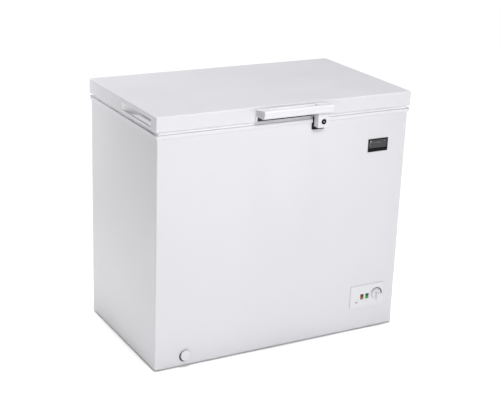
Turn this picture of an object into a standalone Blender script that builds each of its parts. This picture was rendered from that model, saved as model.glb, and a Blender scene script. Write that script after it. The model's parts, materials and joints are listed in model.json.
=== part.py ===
"""A 200-litre chest freezer in metres, +Z up, on its feet, with its origin under the middle of its box.

Every piece is placed in the cabinet's own frame: x and y from the lid's middle, z from the cabinet's lower
edge. One empty, "freezer", then stands that frame on its feet and centres the whole depth on the origin.
"""

import math

import bmesh
import bpy
from mathutils import Matrix, Vector

# Overall sizes
LID_WIDTH = 0.941
LID_DEPTH = 0.544
LID_HEIGHT = 0.0493
CABINET_HEIGHT = 0.7788
COLLAR_HEIGHT = 0.0127
SEAL_HEIGHT = 0.0092
FOOT_HEIGHT = 0.006
WALL_SETBACK = 0.006
WALL_THICKNESS = 0.060
FLOOR_THICKNESS = 0.060

# Sheets and clearances
SHEET = 0.0012
LINER_SHEET = 0.0015
LID_SHEET = 0.0015
GAP = 0.0003
RUNNING_GAP = 0.0006
CORNER_RADIUS = 0.004
LINER_RADIUS = 0.016
THROUGH = 0.02
EDGE_RADIUS = 0.001
FINE_EDGE_RADIUS = 0.0008

# Compressor bay, at the right-hand end under a step in the liner
BAY_WIDTH = 0.2745
BAY_HEIGHT = 0.235
STEP_INSULATION = 0.052

# Refrigerant tubes
EVAPORATOR_TUBE = 0.008
EVAPORATOR_TURNS = 5
EVAPORATOR_MARGIN = 0.0012
CONDENSER_TUBE = 0.005
CONDENSER_PASSES = 6
CONDENSER_MARGIN = 0.0012
EVAPORATOR_OVER_STEP = 0.02
COIL_EDGE = 0.05

# Lid
LID_EDGE_RADIUS = 0.003
LID_PLUG_DEPTH = 0.010
LID_PLUG_CLEARANCE = 0.010
LID_PLUG_DRAFT = 0.003
LID_PLUG_RADIUS = 0.012
GASKET_INSET = 0.006
GASKET_WIDTH = 0.022
GASKET_RADIUS = 0.008
COLLAR_EDGE_RADIUS = 0.002
COLLAR_LEDGE_WIDTH = 0.012
COLLAR_LEDGE_DEPTH = 0.005
RECESS_LENGTH = 0.229
RECESS_REAR_Y = -0.003
RECESS_HEIGHT = 0.024
RECESS_RISE = 0.0103
RECESS_DEPTH = 0.020
RECESS_WALL = 0.002

# Hinges
HINGE_FROM_LID_END = 0.1855
HINGE_WIDTH = 0.062
HINGE_AXIS_BEHIND_LID = 0.010
KNUCKLE_RADIUS = 0.006
KNUCKLE_WIDTH = 0.026
HINGE_PIN_RADIUS = 0.0025
PIN_HEAD = 0.002
HINGE_PLATE = 0.003
HINGE_PLATE_DROP = 0.095

# Handle and lock
HANDLE_WIDTH = 0.2545
HANDLE_REACH = 0.0575
HANDLE_PLATE = 0.004
HANDLE_PLATE_BOTTOM = 0.0018
HANDLE_BOTTOM = 0.020
HANDLE_BACK_TOP = 0.0412
HANDLE_NOSE_TOP = 0.0478
HANDLE_NOSE_RADIUS = 0.012
HANDLE_BAR_DEPTH = 0.0225
HANDLE_MOUNT_WIDTH = 0.0375
HANDLE_MOUNT_FLARE = 0.008
HANDLE_EDGE_RADIUS = 0.0012
LOCK_FROM_HANDLE_END = 0.01975
LOCK_WIDTH = 0.0425
LOCK_REACH = 0.0315
LOCK_BACK = 0.0045
LOCK_DROP = 0.0327
LOCK_AXIS_DROP = 0.0127
LOCK_WALL = 0.0025
LOCK_EDGE_RADIUS = 0.002
BARREL_RADIUS = 0.0085
BARREL_PROUD = 0.0015
SPINDLE_RADIUS = 0.004
KEY_SLOT_WIDTH = 0.0014
KEY_SLOT_HEIGHT = 0.006
KEY_SLOT_DEPTH = 0.004
CAM_REACH = 0.0125
CAM_HALF_WIDTH = 0.0045
CAM_THICKNESS = 0.002
CAM_MARGIN = 0.001
KEEPER_WIDTH = 0.0425
KEEPER_OVERHANG = 0.0015
KEEPER_FOOT = 0.012
KEEPER_PLATE = 0.0017
KEEPER_TOP_DROP = 0.0012
KEEPER_DROP = 0.0225
TONGUE_REACH = 0.0125
TONGUE_THICKNESS = 0.003
TONGUE_WIDTH = 0.007
TONGUE_CLEARANCE = 0.004
TONGUE_OVER_CAM = 0.002

# Front fittings
DISPLAY_FROM_WALL_END = 0.1125
DISPLAY_DROP = 0.10505
DISPLAY_WIDTH = 0.0795
DISPLAY_HEIGHT = 0.0455
DISPLAY_PROUD = 0.0016
DISPLAY_BODY_DEPTH = 0.020
DISPLAY_LIP = 0.004
DISPLAY_BACK_WALL = 0.002
BOARD_THICKNESS = 0.0032
WINDOW_WIDTH = 0.073
WINDOW_HEIGHT = 0.033
WINDOW_RISE = 0.0035
WINDOW_THICKNESS = 0.0015
PANEL_FROM_WALL_END = 0.114
PANEL_Z = 0.12175
PANEL_WIDTH = 0.137
PANEL_HEIGHT = 0.0825
PANEL_PROUD = 0.0025
PANEL_CORNER_RADIUS = 0.004
LAMP_DROP = 0.00175
ORANGE_LAMP_LEFT = 0.020
GREEN_LAMP_RIGHT = 0.0012
LAMP_WIDTH = 0.013
LAMP_HEIGHT = 0.019
LAMP_PROUD = 0.001
LAMP_BODY_DEPTH = 0.014
THERMOSTAT_WIDTH = 0.036
THERMOSTAT_HEIGHT = 0.048
THERMOSTAT_DEPTH = 0.045
KNOB_RIGHT = 0.0385
KNOB_DROP = 0.00075
KNOB_RADIUS = 0.0175
KNOB_SKIRT = 0.004
KNOB_RIM = 0.004
KNOB_HEIGHT = 0.014
KNOB_RIDGE_WIDTH = 0.008
KNOB_RIDGE_INSET = 0.0026
RIDGE_EDGE_RADIUS = 0.0015
SHAFT_RADIUS = 0.003
DRAIN_FROM_WALL_END = 0.1085
DRAIN_Z = 0.035
DRAIN_INSIDE_WALL = 0.035
DRAIN_CAP_RADIUS = 0.018
DRAIN_CAP_PROUD = 0.0092
CAP_EDGE = 0.002
CAP_PLUG_DEPTH = 0.012
DRAIN_PIPE_RADIUS = 0.013
DRAIN_PIPE_WALL = 0.002
STOPPER_FIT = 0.95
STOPPER_DEPTH = 0.009
STOPPER_FLANGE = 0.003
STOPPER_PEG_RADIUS = 0.004
STOPPER_HEIGHT = 0.011

# Basket
BASKET_LENGTH = 0.215
BASKET_DEPTH = 0.205
BASKET_SIDE_CLEARANCE = 0.010
BASKET_WALL = 0.003
BASKET_HOOK_REACH = 0.0175
BASKET_LIP_INSET = 0.02

# Compressor
COMPRESSOR_FROM_STEP = 0.135
COMPRESSOR_FROM_BACK = 0.131
COMPRESSOR_RADIUS = 0.078
COMPRESSOR_HEIGHT = 0.165
GROMMET_HEIGHT = 0.016
GROMMET_RADIUS = 0.011
MOUNT_X = 0.062
MOUNT_Y = 0.050
TRAY_SHEET = 0.002
COMPRESSOR_FOOT = 0.003
COMPRESSOR_FOOT_MARGIN = 0.014
SHELL_SEAM = 0.004
SHELL_DOME = 0.32
RELAY_DEPTH = 0.030
RELAY_WIDTH = 0.044
RELAY_EDGE_RADIUS = 0.003

# Pipes in the bay. A suction point is (distance behind the shell's middle, height over the shell).
SUCTION_TUBE = 0.008
SUCTION_ROUTE = ((0.010, 0), (0.010, 0.012), (-0.004, 0.024), (-0.050, 0.028), (-0.062, 0.034))
DISCHARGE_TUBE = 0.005
DISCHARGE_BEND = 0.020
DRIER_FROM_BAY = 0.022
DRIER_BEFORE_MOUNT = 0.030
DRIER_RISE = 0.010
DRIER_NECK = 0.003
DRIER_RADIUS = 0.009
DRIER_TAPER = 0.012
DRIER_LENGTH = 0.094

# Rear grille, cord gland and feet
VENT_SLOTS = 11
VENT_MARGIN = 0.03
VENT_WIDTH = 0.008
VENT_LOW = 0.11
SCREW_MARGIN = 0.012
SCREW_RADIUS = 0.0016
SCREW_HEAD_RADIUS = 0.0042
SCREW_HEAD = 0.0024
SCREW_LENGTH = 0.008
GLAND_MARGIN = 0.045
GLAND_RADIUS = 0.008
GLAND_FLANGE = 0.004
GLAND_DEPTH = 0.010
GLAND_HEIGHT = 0.012
CORD_RADIUS = 0.0036
FOOT_RADIUS = 0.016
FOOT_FROM_END = 0.060
FOOT_FROM_FRONT = 0.050

# What follows from the sizes above
LID_X = LID_WIDTH / 2
LID_Y = LID_DEPTH / 2
WALL_X = LID_X - WALL_SETBACK
WALL_Y = LID_Y - WALL_SETBACK
COLLAR_TOP = CABINET_HEIGHT + COLLAR_HEIGHT
LID_Z = COLLAR_TOP + SEAL_HEIGHT
LID_TOP = LID_Z + LID_HEIGHT
INSIDE_X = WALL_X - WALL_THICKNESS
INSIDE_Y = WALL_Y - WALL_THICKNESS
BAY_X = WALL_X - BAY_WIDTH
STEP_Z = BAY_HEIGHT + STEP_INSULATION
EVAPORATOR_SPACE = EVAPORATOR_TUBE + 2 * EVAPORATOR_MARGIN
CONDENSER_SPACE = CONDENSER_TUBE + 2 * CONDENSER_MARGIN
HINGE_AXIS = Vector((0, LID_Y + HINGE_AXIS_BEHIND_LID, LID_Z))
HINGE_REACH = HINGE_AXIS_BEHIND_LID + KNUCKLE_RADIUS
HINGE_X = LID_X - HINGE_FROM_LID_END
LOCK_X = HANDLE_WIDTH / 2 - LOCK_FROM_HANDLE_END
DISPLAY_X = WALL_X - DISPLAY_FROM_WALL_END
DISPLAY_Z = CABINET_HEIGHT - DISPLAY_DROP
PANEL_X = WALL_X - PANEL_FROM_WALL_END
LAMP_Z = PANEL_Z - LAMP_DROP
ORANGE_LAMP_X = PANEL_X - ORANGE_LAMP_LEFT
GREEN_LAMP_X = PANEL_X + GREEN_LAMP_RIGHT
KNOB_X = PANEL_X + KNOB_RIGHT
KNOB_Z = PANEL_Z - KNOB_DROP
DRAIN_X = DRAIN_FROM_WALL_END - WALL_X
DRAIN_BEHIND_WALL = WALL_THICKNESS + DRAIN_INSIDE_WALL
COMPRESSOR_X = BAY_X + COMPRESSOR_FROM_STEP
COMPRESSOR_Y = WALL_Y - COMPRESSOR_FROM_BACK
COMPRESSOR_FOOT_Z = TRAY_SHEET + GROMMET_HEIGHT + 2 * GAP
COMPRESSOR_BASE = COMPRESSOR_FOOT_Z + COMPRESSOR_FOOT / 2
LOCK_AXIS = Vector((LOCK_X, -LID_Y, LID_Z - LOCK_AXIS_DROP))
FREEZER_PLACE = Vector((0, (HANDLE_REACH - HINGE_REACH) / 2, FOOT_HEIGHT))
ROUND = 32
WHITE = (0.86, 0.87, 0.88)


def finish(name, colour, roughness=0.45, metallic=0.0):
    """A Principled material."""
    material = bpy.data.materials.new(name)
    material.use_nodes = True
    shader = material.node_tree.nodes["Principled BSDF"]
    shader.inputs["Base Color"].default_value = (*colour, 1)
    shader.inputs["Roughness"].default_value = roughness
    shader.inputs["Metallic"].default_value = metallic
    return material


def pivot(name, place, parent=None):
    """An empty at a place in the cabinet's frame, which other pieces hang on."""
    empty = bpy.data.objects.new(name, None)
    empty["place"] = tuple(place)
    bpy.context.scene.collection.objects.link(empty)
    empty.location = place
    if parent:
        hang(empty, parent)
    return empty


def hang(obj, parent):
    """Parents an object and leaves its location in the cabinet's frame."""
    obj.parent = parent
    obj.matrix_parent_inverse = Matrix.Translation(-Vector(parent["place"]))


def piece(name, mesh, parent, material, place=(0, 0, 0)):
    obj = bpy.data.objects.new(name, mesh)
    bpy.context.scene.collection.objects.link(obj)
    obj.location = place
    hang(obj, parent)
    if material:
        mesh.materials.append(material)
    return obj


def finished_mesh(bm, name):
    bmesh.ops.recalc_face_normals(bm, faces=bm.faces)
    mesh = bpy.data.meshes.new(name)
    bm.to_mesh(mesh)
    bm.free()
    mesh.shade_smooth()
    mesh.set_sharp_from_angle(angle=math.radians(35))
    return mesh


def box(name, low, high, parent, material=None):
    """A box between two corners, with its origin at its middle."""
    low, high = Vector(low), Vector(high)
    bm = bmesh.new()
    bmesh.ops.create_cube(bm, size=1)
    bmesh.ops.scale(bm, vec=high - low, verts=bm.verts)
    return piece(name, finished_mesh(bm, name), parent, material, (low + high) / 2)


def prism(name, outline, axis, start, end, parent, material=None):
    """An outline in the plane across an axis, carried along that axis. Its pairs are in X, Y, Z order."""
    bm = bmesh.new()
    along = "XYZ".index(axis)

    def point(pair, height):
        values = list(pair)
        values.insert(along, height)
        return Vector(values)

    first = [bm.verts.new(point(pair, start)) for pair in outline]
    second = [bm.verts.new(point(pair, end)) for pair in outline]
    bm.faces.new(first)
    bm.faces.new(reversed(second))
    for i, corner in enumerate(first):
        j = (i + 1) % len(first)
        bm.faces.new((corner, second[i], second[j], first[j]))
    return piece(name, finished_mesh(bm, name), parent, material)


def loft(name, levels, parent, material=None):
    """A closed skin over outlines of equal point counts at given heights, capped at both ends."""
    bm = bmesh.new()
    rings = [[bm.verts.new((x, y, z)) for x, y in outline] for outline, z in levels]
    for lower, upper in zip(rings, rings[1:]):
        for k in range(len(lower)):
            j = (k + 1) % len(lower)
            bm.faces.new((lower[k], lower[j], upper[j], upper[k]))
    bm.faces.new(rings[0])
    bm.faces.new(rings[-1])
    return piece(name, finished_mesh(bm, name), parent, material)


def turned(name, profile, axis, place, parent, material=None, segments=ROUND):
    """A profile of (radius, height) pairs turned about an axis through a place, ending on it."""
    bm = bmesh.new()
    turn = {
        "X": Matrix.Rotation(math.pi / 2, 3, "Y"),
        "Y": Matrix.Rotation(-math.pi / 2, 3, "X"),
        "-Y": Matrix.Rotation(math.pi / 2, 3, "X"),
        "Z": Matrix.Identity(3),
    }
    rings = []
    for radius, height in profile:
        if radius == 0:
            rings.append([bm.verts.new(turn[axis] @ Vector((0, 0, height)))])
            continue
        angles = (2 * math.pi * k / segments for k in range(segments))
        ring = [Vector((radius * math.cos(a), radius * math.sin(a), height)) for a in angles]
        rings.append([bm.verts.new(turn[axis] @ corner) for corner in ring])
    for lower, upper in zip(rings, rings[1:]):
        for k in range(segments):
            a, b = lower[k % len(lower)], lower[(k + 1) % len(lower)]
            c, d = upper[(k + 1) % len(upper)], upper[k % len(upper)]
            bm.faces.new(dict.fromkeys((a, b, c, d)))
    return piece(name, finished_mesh(bm, name), parent, material, place)


def cylinder(name, radius, start, end, axis, place, parent, material=None, segments=ROUND):
    """A round bar from start to end along an axis, both measured from a place."""
    profile = [(0, start), (radius, start), (radius, end), (0, end)]
    return turned(name, profile, axis, place, parent, material, segments)


def tube(name, route, radius, parent, material, inner_radius=0.0, sides=8):
    """A round bar or an open pipe along a route of points, with rings square to the route."""
    bm = bmesh.new()
    points = [Vector(p) for p in route]
    side = None
    outer, inner = [], []
    for i, p in enumerate(points):
        ahead = (points[min(i + 1, len(points) - 1)] - p).normalized()
        behind = (p - points[max(i - 1, 0)]).normalized()
        heading = (ahead + behind).normalized()
        if side is None:
            side = heading.orthogonal().normalized()
        side = (side - heading * side.dot(heading)).normalized()
        other = heading.cross(side)
        # A ring on a bend is stretched across it, so that the pipe keeps its bore there.
        stretch = 1 / max(0.5, math.sqrt((1 + ahead.dot(behind)) / 2)) if 0 < i < len(points) - 1 else 1
        bend = (ahead - behind).normalized() if stretch > 1 else Vector()
        for rings, r in ((outer, radius), (inner, inner_radius)):
            if not r:
                continue
            ring = []
            for k in range(sides):
                a = 2 * math.pi * (k + 0.5) / sides
                spoke = (side * math.cos(a) + other * math.sin(a)) * r
                ring.append(bm.verts.new(p + spoke + bend * spoke.dot(bend) * (stretch - 1)))
            rings.append(ring)
    for rings in (outer, inner):
        for a, b in zip(rings, rings[1:]):
            for k in range(sides):
                bm.faces.new((a[k], a[(k + 1) % sides], b[(k + 1) % sides], b[k]))
    for end in (0, -1):
        if inner:
            for k in range(sides):
                j = (k + 1) % sides
                bm.faces.new((outer[end][k], outer[end][j], inner[end][j], inner[end][k]))
        else:
            bm.faces.new(outer[end])
    return piece(name, finished_mesh(bm, name), parent, material)


def cut(obj, cutter, operation="DIFFERENCE"):
    """A live Boolean with a helper that isn't part of the object."""
    cutter.hide_render = True
    cutter.display_type = "WIRE"
    modifier = obj.modifiers.new(f"{operation.title()} {cutter.name}", "BOOLEAN")
    modifier.operation = operation
    modifier.object = cutter
    return obj


def rounded(obj, width, segments=2, angle=40):
    modifier = obj.modifiers.new("Rounded edges", "BEVEL")
    modifier.width = width
    modifier.segments = segments
    modifier.limit_method = "ANGLE"
    modifier.angle_limit = math.radians(angle)
    return obj


def arc(centre, radius, start, end, steps):
    """Points of an arc in degrees, both ends included."""
    angles = (math.radians(start + (end - start) * k / steps) for k in range(steps + 1))
    return [(centre[0] + radius * math.cos(a), centre[1] + radius * math.sin(a)) for a in angles]


def round_rectangle(half_x, half_y, radius, steps=4):
    points = []
    for sx, sy, start in ((1, 1, 0), (-1, 1, 90), (-1, -1, 180), (1, -1, 270)):
        points += arc((sx * (half_x - radius), sy * (half_y - radius)), radius, start, start + 90, steps)
    return points


def stepped_outline(grow, top):
    """The liner's inside from the front, with the step over the compressor bay, grown outwards."""
    step_x = BAY_X - WALL_THICKNESS
    return [
        (-INSIDE_X - grow, FLOOR_THICKNESS - grow),
        (step_x + grow, FLOOR_THICKNESS - grow),
        (step_x + grow, STEP_Z - grow),
        (INSIDE_X + grow, STEP_Z - grow),
        (INSIDE_X + grow, top),
        (-INSIDE_X - grow, top),
    ]


def front_corner(radius):
    """The wrap's bend at the front left corner, from the end wall to the front, at a radius."""
    centre = (-WALL_X + CORNER_RADIUS, -WALL_Y + CORNER_RADIUS)
    return arc(centre, radius, 180, 270, 4)


def make_outer_wrap(freezer, paint, holes):
    """Front and both ends, bent from one sheet round the two front corners."""
    outer = [(-WALL_X, WALL_Y), *front_corner(CORNER_RADIUS)]
    inner = [(-WALL_X + SHEET, WALL_Y), *front_corner(CORNER_RADIUS - SHEET)]
    outline = outer + [(-x, y) for x, y in reversed(outer)] + [(-x, y) for x, y in inner] + inner[::-1]
    wrap = prism("outer_wrap", outline, "Z", 0, CABINET_HEIGHT - GAP, freezer, paint)
    for hole in holes:
        cut(wrap, hole)


def make_back_panel(freezer, paint):
    """The sheet that closes the back, with a corner left out for the compressor bay."""
    edge = WALL_X - SHEET - GAP
    bay = BAY_X - GAP
    top = CABINET_HEIGHT - GAP
    outline = [
        (-edge, 0),
        (bay, 0),
        (bay, BAY_HEIGHT + GAP),
        (edge, BAY_HEIGHT + GAP),
        (edge, top),
        (-edge, top),
    ]
    prism("back_panel", outline, "Y", WALL_Y - SHEET, WALL_Y, freezer, paint)


def make_base_pan(freezer, steel, bends):
    """The bottom sheet, which steps up over the compressor bay."""
    edge = WALL_X - SHEET - GAP
    outline = [
        (-edge, 0),
        (BAY_X, 0),
        (BAY_X, BAY_HEIGHT),
        (edge, BAY_HEIGHT),
        (edge, BAY_HEIGHT + SHEET),
        (BAY_X - SHEET, BAY_HEIGHT + SHEET),
        (BAY_X - SHEET, SHEET),
        (-edge, SHEET),
    ]
    depth = WALL_Y - SHEET - GAP
    pan = prism("base_pan", outline, "Y", -depth, depth, freezer, steel)
    for cutter in bends:
        cut(pan, cutter)


def front_bends(freezer):
    """Two helpers that hold all that lies outside the wrap's front bends, to trim what stands inside them."""
    cutters = []
    for side in (-1, 1):
        bend = front_corner(CORNER_RADIUS - SHEET - GAP)
        far_x, far_y = -WALL_X - THROUGH, -WALL_Y - THROUGH
        outside = [(bend[-1][0], far_y), (far_x, far_y), (far_x, bend[0][1])]
        outline = [(-side * x, y) for x, y in bend + outside]
        name = "right_bend" if side == 1 else "left_bend"
        cutters.append(prism(name, outline, "Z", -THROUGH, CABINET_HEIGHT + THROUGH, freezer))
    return cutters


def make_foam(freezer, foam, pockets, bends):
    """The insulation between the sheets and the tank, with room for tubes and front fittings."""
    edge = WALL_X - SHEET - GAP
    left_of_bay = BAY_X - SHEET - GAP
    over_bay = BAY_HEIGHT + SHEET + GAP
    top = CABINET_HEIGHT - GAP
    outline = [
        (-edge, SHEET + GAP),
        (left_of_bay, SHEET + GAP),
        (left_of_bay, over_bay),
        (edge, over_bay),
        (edge, top),
        (-edge, top),
    ]
    front = -WALL_Y + SHEET + GAP
    block = prism("foam_body", outline, "Y", front, WALL_Y - SHEET - CONDENSER_SPACE, freezer, foam)
    for cutter in bends:
        cut(block, cutter)
    room = LINER_SHEET + EVAPORATOR_SPACE
    depth = INSIDE_Y + room
    inside = stepped_outline(room, CABINET_HEIGHT + THROUGH)
    cut(block, prism("foam_cavity", inside, "Y", -depth, depth, freezer))
    for pocket in pockets:
        cut(block, pocket)


def make_liner(freezer, aluminium, drain_hole):
    """The tank that holds the food: rounded inside and out, open at the top."""
    top = CABINET_HEIGHT - GAP
    over = top + 2 * LINER_RADIUS
    outside = INSIDE_Y + LINER_SHEET
    outline = stepped_outline(LINER_SHEET, over)
    tank = prism("inner_liner", outline, "Y", -outside, outside, freezer, aluminium)
    rounded(tank, LINER_RADIUS + LINER_SHEET, 3)
    inside = prism("liner_inside", stepped_outline(0, over + THROUGH), "Y", -INSIDE_Y, INSIDE_Y, freezer)
    rounded(inside, LINER_RADIUS, 3)
    cut(tank, inside)
    low, high = (-WALL_X, -WALL_Y, top), (WALL_X, WALL_Y, over + 2 * THROUGH)
    cut(tank, box("liner_top_cutter", low, high, freezer))
    cut(tank, drain_hole)


def make_collar(freezer, plastic):
    """The moulded frame round the opening, with a ledge on its inner edge for the basket's hooks."""
    outline = round_rectangle(LID_X, LID_Y, CORNER_RADIUS)
    ring = prism("collar", outline, "Z", CABINET_HEIGHT, COLLAR_TOP, freezer, plastic)
    rounded(ring, COLLAR_EDGE_RADIUS, 2)
    opening = round_rectangle(INSIDE_X, INSIDE_Y, LINER_RADIUS)
    low, high = CABINET_HEIGHT - THROUGH, COLLAR_TOP + THROUGH
    cut(ring, prism("collar_opening", opening, "Z", low, high, freezer))
    ledge = round_rectangle(INSIDE_X + COLLAR_LEDGE_WIDTH, INSIDE_Y + COLLAR_LEDGE_WIDTH, LINER_RADIUS)
    cut(ring, prism("collar_ledge", ledge, "Z", COLLAR_TOP - COLLAR_LEDGE_DEPTH, high, freezer))


def make_coils(freezer, copper, steel):
    """The evaporator wound round the tank, and the condenser in passes behind the back sheet."""
    offset = LINER_SHEET + EVAPORATOR_SPACE / 2
    corners = round_rectangle(INSIDE_X + offset, INSIDE_Y + offset, LINER_RADIUS + offset, 3)
    low = STEP_Z + LINER_RADIUS + EVAPORATOR_OVER_STEP
    rise = (CABINET_HEIGHT - COIL_EDGE - low) / EVAPORATOR_TURNS
    route = []
    for turn in range(EVAPORATOR_TURNS):
        for k, (x, y) in enumerate(corners):
            route.append((x, y, low + rise * (turn + k / len(corners))))
    tube("evaporator_coil", route, EVAPORATOR_TUBE / 2, freezer, copper, sides=6)

    y = WALL_Y - SHEET - CONDENSER_SPACE / 2
    low, high = STEP_Z, CABINET_HEIGHT - COIL_EDGE
    pitch = (high - low) / CONDENSER_PASSES
    side = WALL_X - COIL_EDGE - pitch / 2
    route = [(side, y, low)]
    for k in range(CONDENSER_PASSES):
        level = low + pitch * (k + 0.5)
        if k % 2 == 0:
            bend = arc((-side, level), pitch / 2, 270, 90, 6)
        else:
            bend = arc((side, level), pitch / 2, -90, 90, 6)
        route += [(px, y, pz) for px, pz in bend]
    route.append((side if CONDENSER_PASSES % 2 else -side, y, high))
    tube("condenser_coil", route, CONDENSER_TUBE / 2, freezer, steel, sides=6)


def make_recess(name, side, lid, plastic):
    """One end grip: a moulded pocket in the lid's end. It returns the seat to cut for it."""
    low_z = LID_Z + RECESS_RISE - RECESS_WALL
    high_z = LID_Z + RECESS_RISE + RECESS_HEIGHT + RECESS_WALL
    outer, depth = side * LID_X, side * (LID_X - RECESS_DEPTH - RECESS_WALL)
    rear, front = RECESS_REAR_Y + RECESS_WALL, RECESS_REAR_Y - RECESS_LENGTH - RECESS_WALL
    xs = sorted((outer, depth))
    insert = box(f"recess_{name}", (xs[0], front, low_z), (xs[1], rear, high_z), lid, plastic)
    xs = sorted((outer + side * THROUGH, depth + side * RECESS_WALL))
    hollow_low = (xs[0], front + RECESS_WALL, low_z + RECESS_WALL)
    hollow_high = (xs[1], rear - RECESS_WALL, high_z - RECESS_WALL)
    cut(insert, box(f"recess_{name}_hollow", hollow_low, hollow_high, lid))
    xs = sorted((outer + side * THROUGH, depth - side * GAP))
    seat_low, seat_high = (xs[0], front - GAP, low_z - GAP), (xs[1], rear + GAP, high_z + GAP)
    return box(f"recess_{name}_seat", seat_low, seat_high, lid)


def make_lid(lid, paint, foam, plastic, rubber):
    """The lid: a pan open downwards, its foam, the formed tray that closes it, the seal and two end grips."""
    low, high = (-LID_X, -LID_Y, LID_Z), (LID_X, LID_Y, LID_TOP)
    shell = rounded(box("lid_shell", low, high, lid, paint), LID_EDGE_RADIUS, 3)
    inner = LID_SHEET
    cut(shell, box("lid_shell_inside", (-LID_X + inner, -LID_Y + inner, LID_Z - THROUGH),
                   (LID_X - inner, LID_Y - inner, LID_TOP - inner), lid))
    skin = LID_SHEET + GAP
    plate_top = LID_Z + LINER_SHEET
    block = box("lid_foam", (-LID_X + skin, -LID_Y + skin, plate_top + GAP),
                (LID_X - skin, LID_Y - skin, LID_TOP - skin), lid, foam)
    for side, name in ((-1, "left"), (1, "right")):
        seat = make_recess(name, side, lid, plastic)
        cut(shell, seat)
        cut(block, seat)

    outside = (LID_X - skin, LID_Y - skin)
    plug = (INSIDE_X - LID_PLUG_CLEARANCE, INSIDE_Y - LID_PLUG_CLEARANCE)
    rings = [
        (plug, -LID_PLUG_DRAFT, LID_Z - LID_PLUG_DEPTH),
        (plug, 0, LID_Z),
        (outside, 0, LID_Z),
        (outside, 0, plate_top),
        (plug, -LINER_SHEET, plate_top),
        (plug, -LINER_SHEET - LID_PLUG_DRAFT, plate_top - LID_PLUG_DEPTH),
    ]
    levels = []
    for (half_x, half_y), grow, z in rings:
        levels.append((round_rectangle(half_x + grow, half_y + grow, LID_PLUG_RADIUS), z))
    loft("lid_liner", levels, lid, plastic)

    half_x, half_y = LID_X - GASKET_INSET, LID_Y - GASKET_INSET
    outline = round_rectangle(half_x, half_y, GASKET_RADIUS)
    seal = prism("lid_gasket", outline, "Z", COLLAR_TOP + GAP, LID_Z - GAP, lid, rubber)
    hole = round_rectangle(half_x - GASKET_WIDTH, half_y - GASKET_WIDTH, GASKET_RADIUS)
    cut(seal, prism("gasket_opening", hole, "Z", COLLAR_TOP - THROUGH, LID_Z + THROUGH, lid))


def make_hinge(name, x, freezer, lid, steel):
    """Two leaves with interleaved knuckles on one pin."""
    y, z = HINGE_AXIS.y, HINGE_AXIS.z
    low, high = x - HINGE_WIDTH / 2, x + HINGE_WIDTH / 2
    r = KNUCKLE_RADIUS
    wall, lid_face = WALL_Y + GAP, LID_Y + GAP
    under_collar = CABINET_HEIGHT - 2 * GAP
    base = [
        (wall, z - HINGE_PLATE_DROP),
        (lid_face + HINGE_PLATE, z - HINGE_PLATE_DROP),
        (lid_face + HINGE_PLATE, z - 3 * r),
        *arc((y, z), r, -40, 180, 12),
        (y - r, z - r),
        (lid_face, z - 2 * r),
        (lid_face, under_collar),
        (wall, under_collar),
    ]
    bracket = prism(f"hinge_base_{name}", base, "X", low, high, freezer, steel)
    knuckle_low, knuckle_high = x - KNUCKLE_WIDTH / 2, x + KNUCKLE_WIDTH / 2
    room = r + RUNNING_GAP
    cut(bracket, box(f"hinge_base_{name}_gap", (knuckle_low - RUNNING_GAP, wall + GAP, z - 2 * room),
                     (knuckle_high + RUNNING_GAP, y + 2 * room, z + 2 * room), freezer))
    bore = HINGE_PIN_RADIUS + RUNNING_GAP
    axis_place = (0, y, z)
    reach = HINGE_WIDTH / 2 + THROUGH
    cut(bracket, cylinder(f"hinge_bore_{name}", bore, x - reach, x + reach, "X", axis_place, freezer))

    leaf_top = z + LID_HEIGHT - 2 * LID_EDGE_RADIUS
    notch_top = z + 1.5 * r
    leaf = [
        (lid_face, z + 1.4 * r),
        (lid_face, leaf_top),
        (lid_face + HINGE_PLATE, leaf_top),
        (lid_face + HINGE_PLATE, z + 1.8 * r),
        *arc((y, z), r, 90, -180, 14),
    ]
    flap = prism(f"hinge_leaf_{name}", leaf, "X", low, high, lid, steel)
    for side, inner, outer in ((-1, knuckle_low, low - THROUGH), (1, knuckle_high, high + THROUGH)):
        xs = sorted((inner, outer))
        corners = ((xs[0], lid_face - THROUGH, z - 2 * room), (xs[1], y + 2 * room, notch_top))
        cut(flap, box(f"hinge_leaf_{name}_notch_{side}", *corners, lid))
    cut(flap, cylinder(f"leaf_bore_{name}", bore, x - reach, x + reach, "X", axis_place, lid))

    head = HINGE_PIN_RADIUS + 2 * RUNNING_GAP
    near, far = x - HINGE_WIDTH / 2 - GAP, x + HINGE_WIDTH / 2 + GAP
    profile = [
        (0, near - PIN_HEAD),
        (head, near - PIN_HEAD),
        (head, near),
        (HINGE_PIN_RADIUS, near),
        (HINGE_PIN_RADIUS, far),
        (head, far),
        (head, far + PIN_HEAD),
        (0, far + PIN_HEAD),
    ]
    turned(f"hinge_pin_{name}", profile, "X", axis_place, freezer, steel)


def handle_profile():
    """The grip seen from its end: a flat underside, a round nose and a top that rises forwards."""
    back = -LID_Y - HANDLE_PLATE - GAP
    nose = (-LID_Y - HANDLE_REACH + HANDLE_NOSE_RADIUS, LID_Z + (HANDLE_BOTTOM + HANDLE_NOSE_TOP) / 2)
    half_height = (HANDLE_NOSE_TOP - HANDLE_BOTTOM) / 2
    points = [(back, LID_Z + HANDLE_BOTTOM)]
    for k in range(9):
        a = math.radians(-90 - 180 * k / 8)
        points.append((nose[0] + HANDLE_NOSE_RADIUS * math.cos(a), nose[1] + half_height * math.sin(a)))
    points.append((back, LID_Z + HANDLE_BACK_TOP))
    return points


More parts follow.
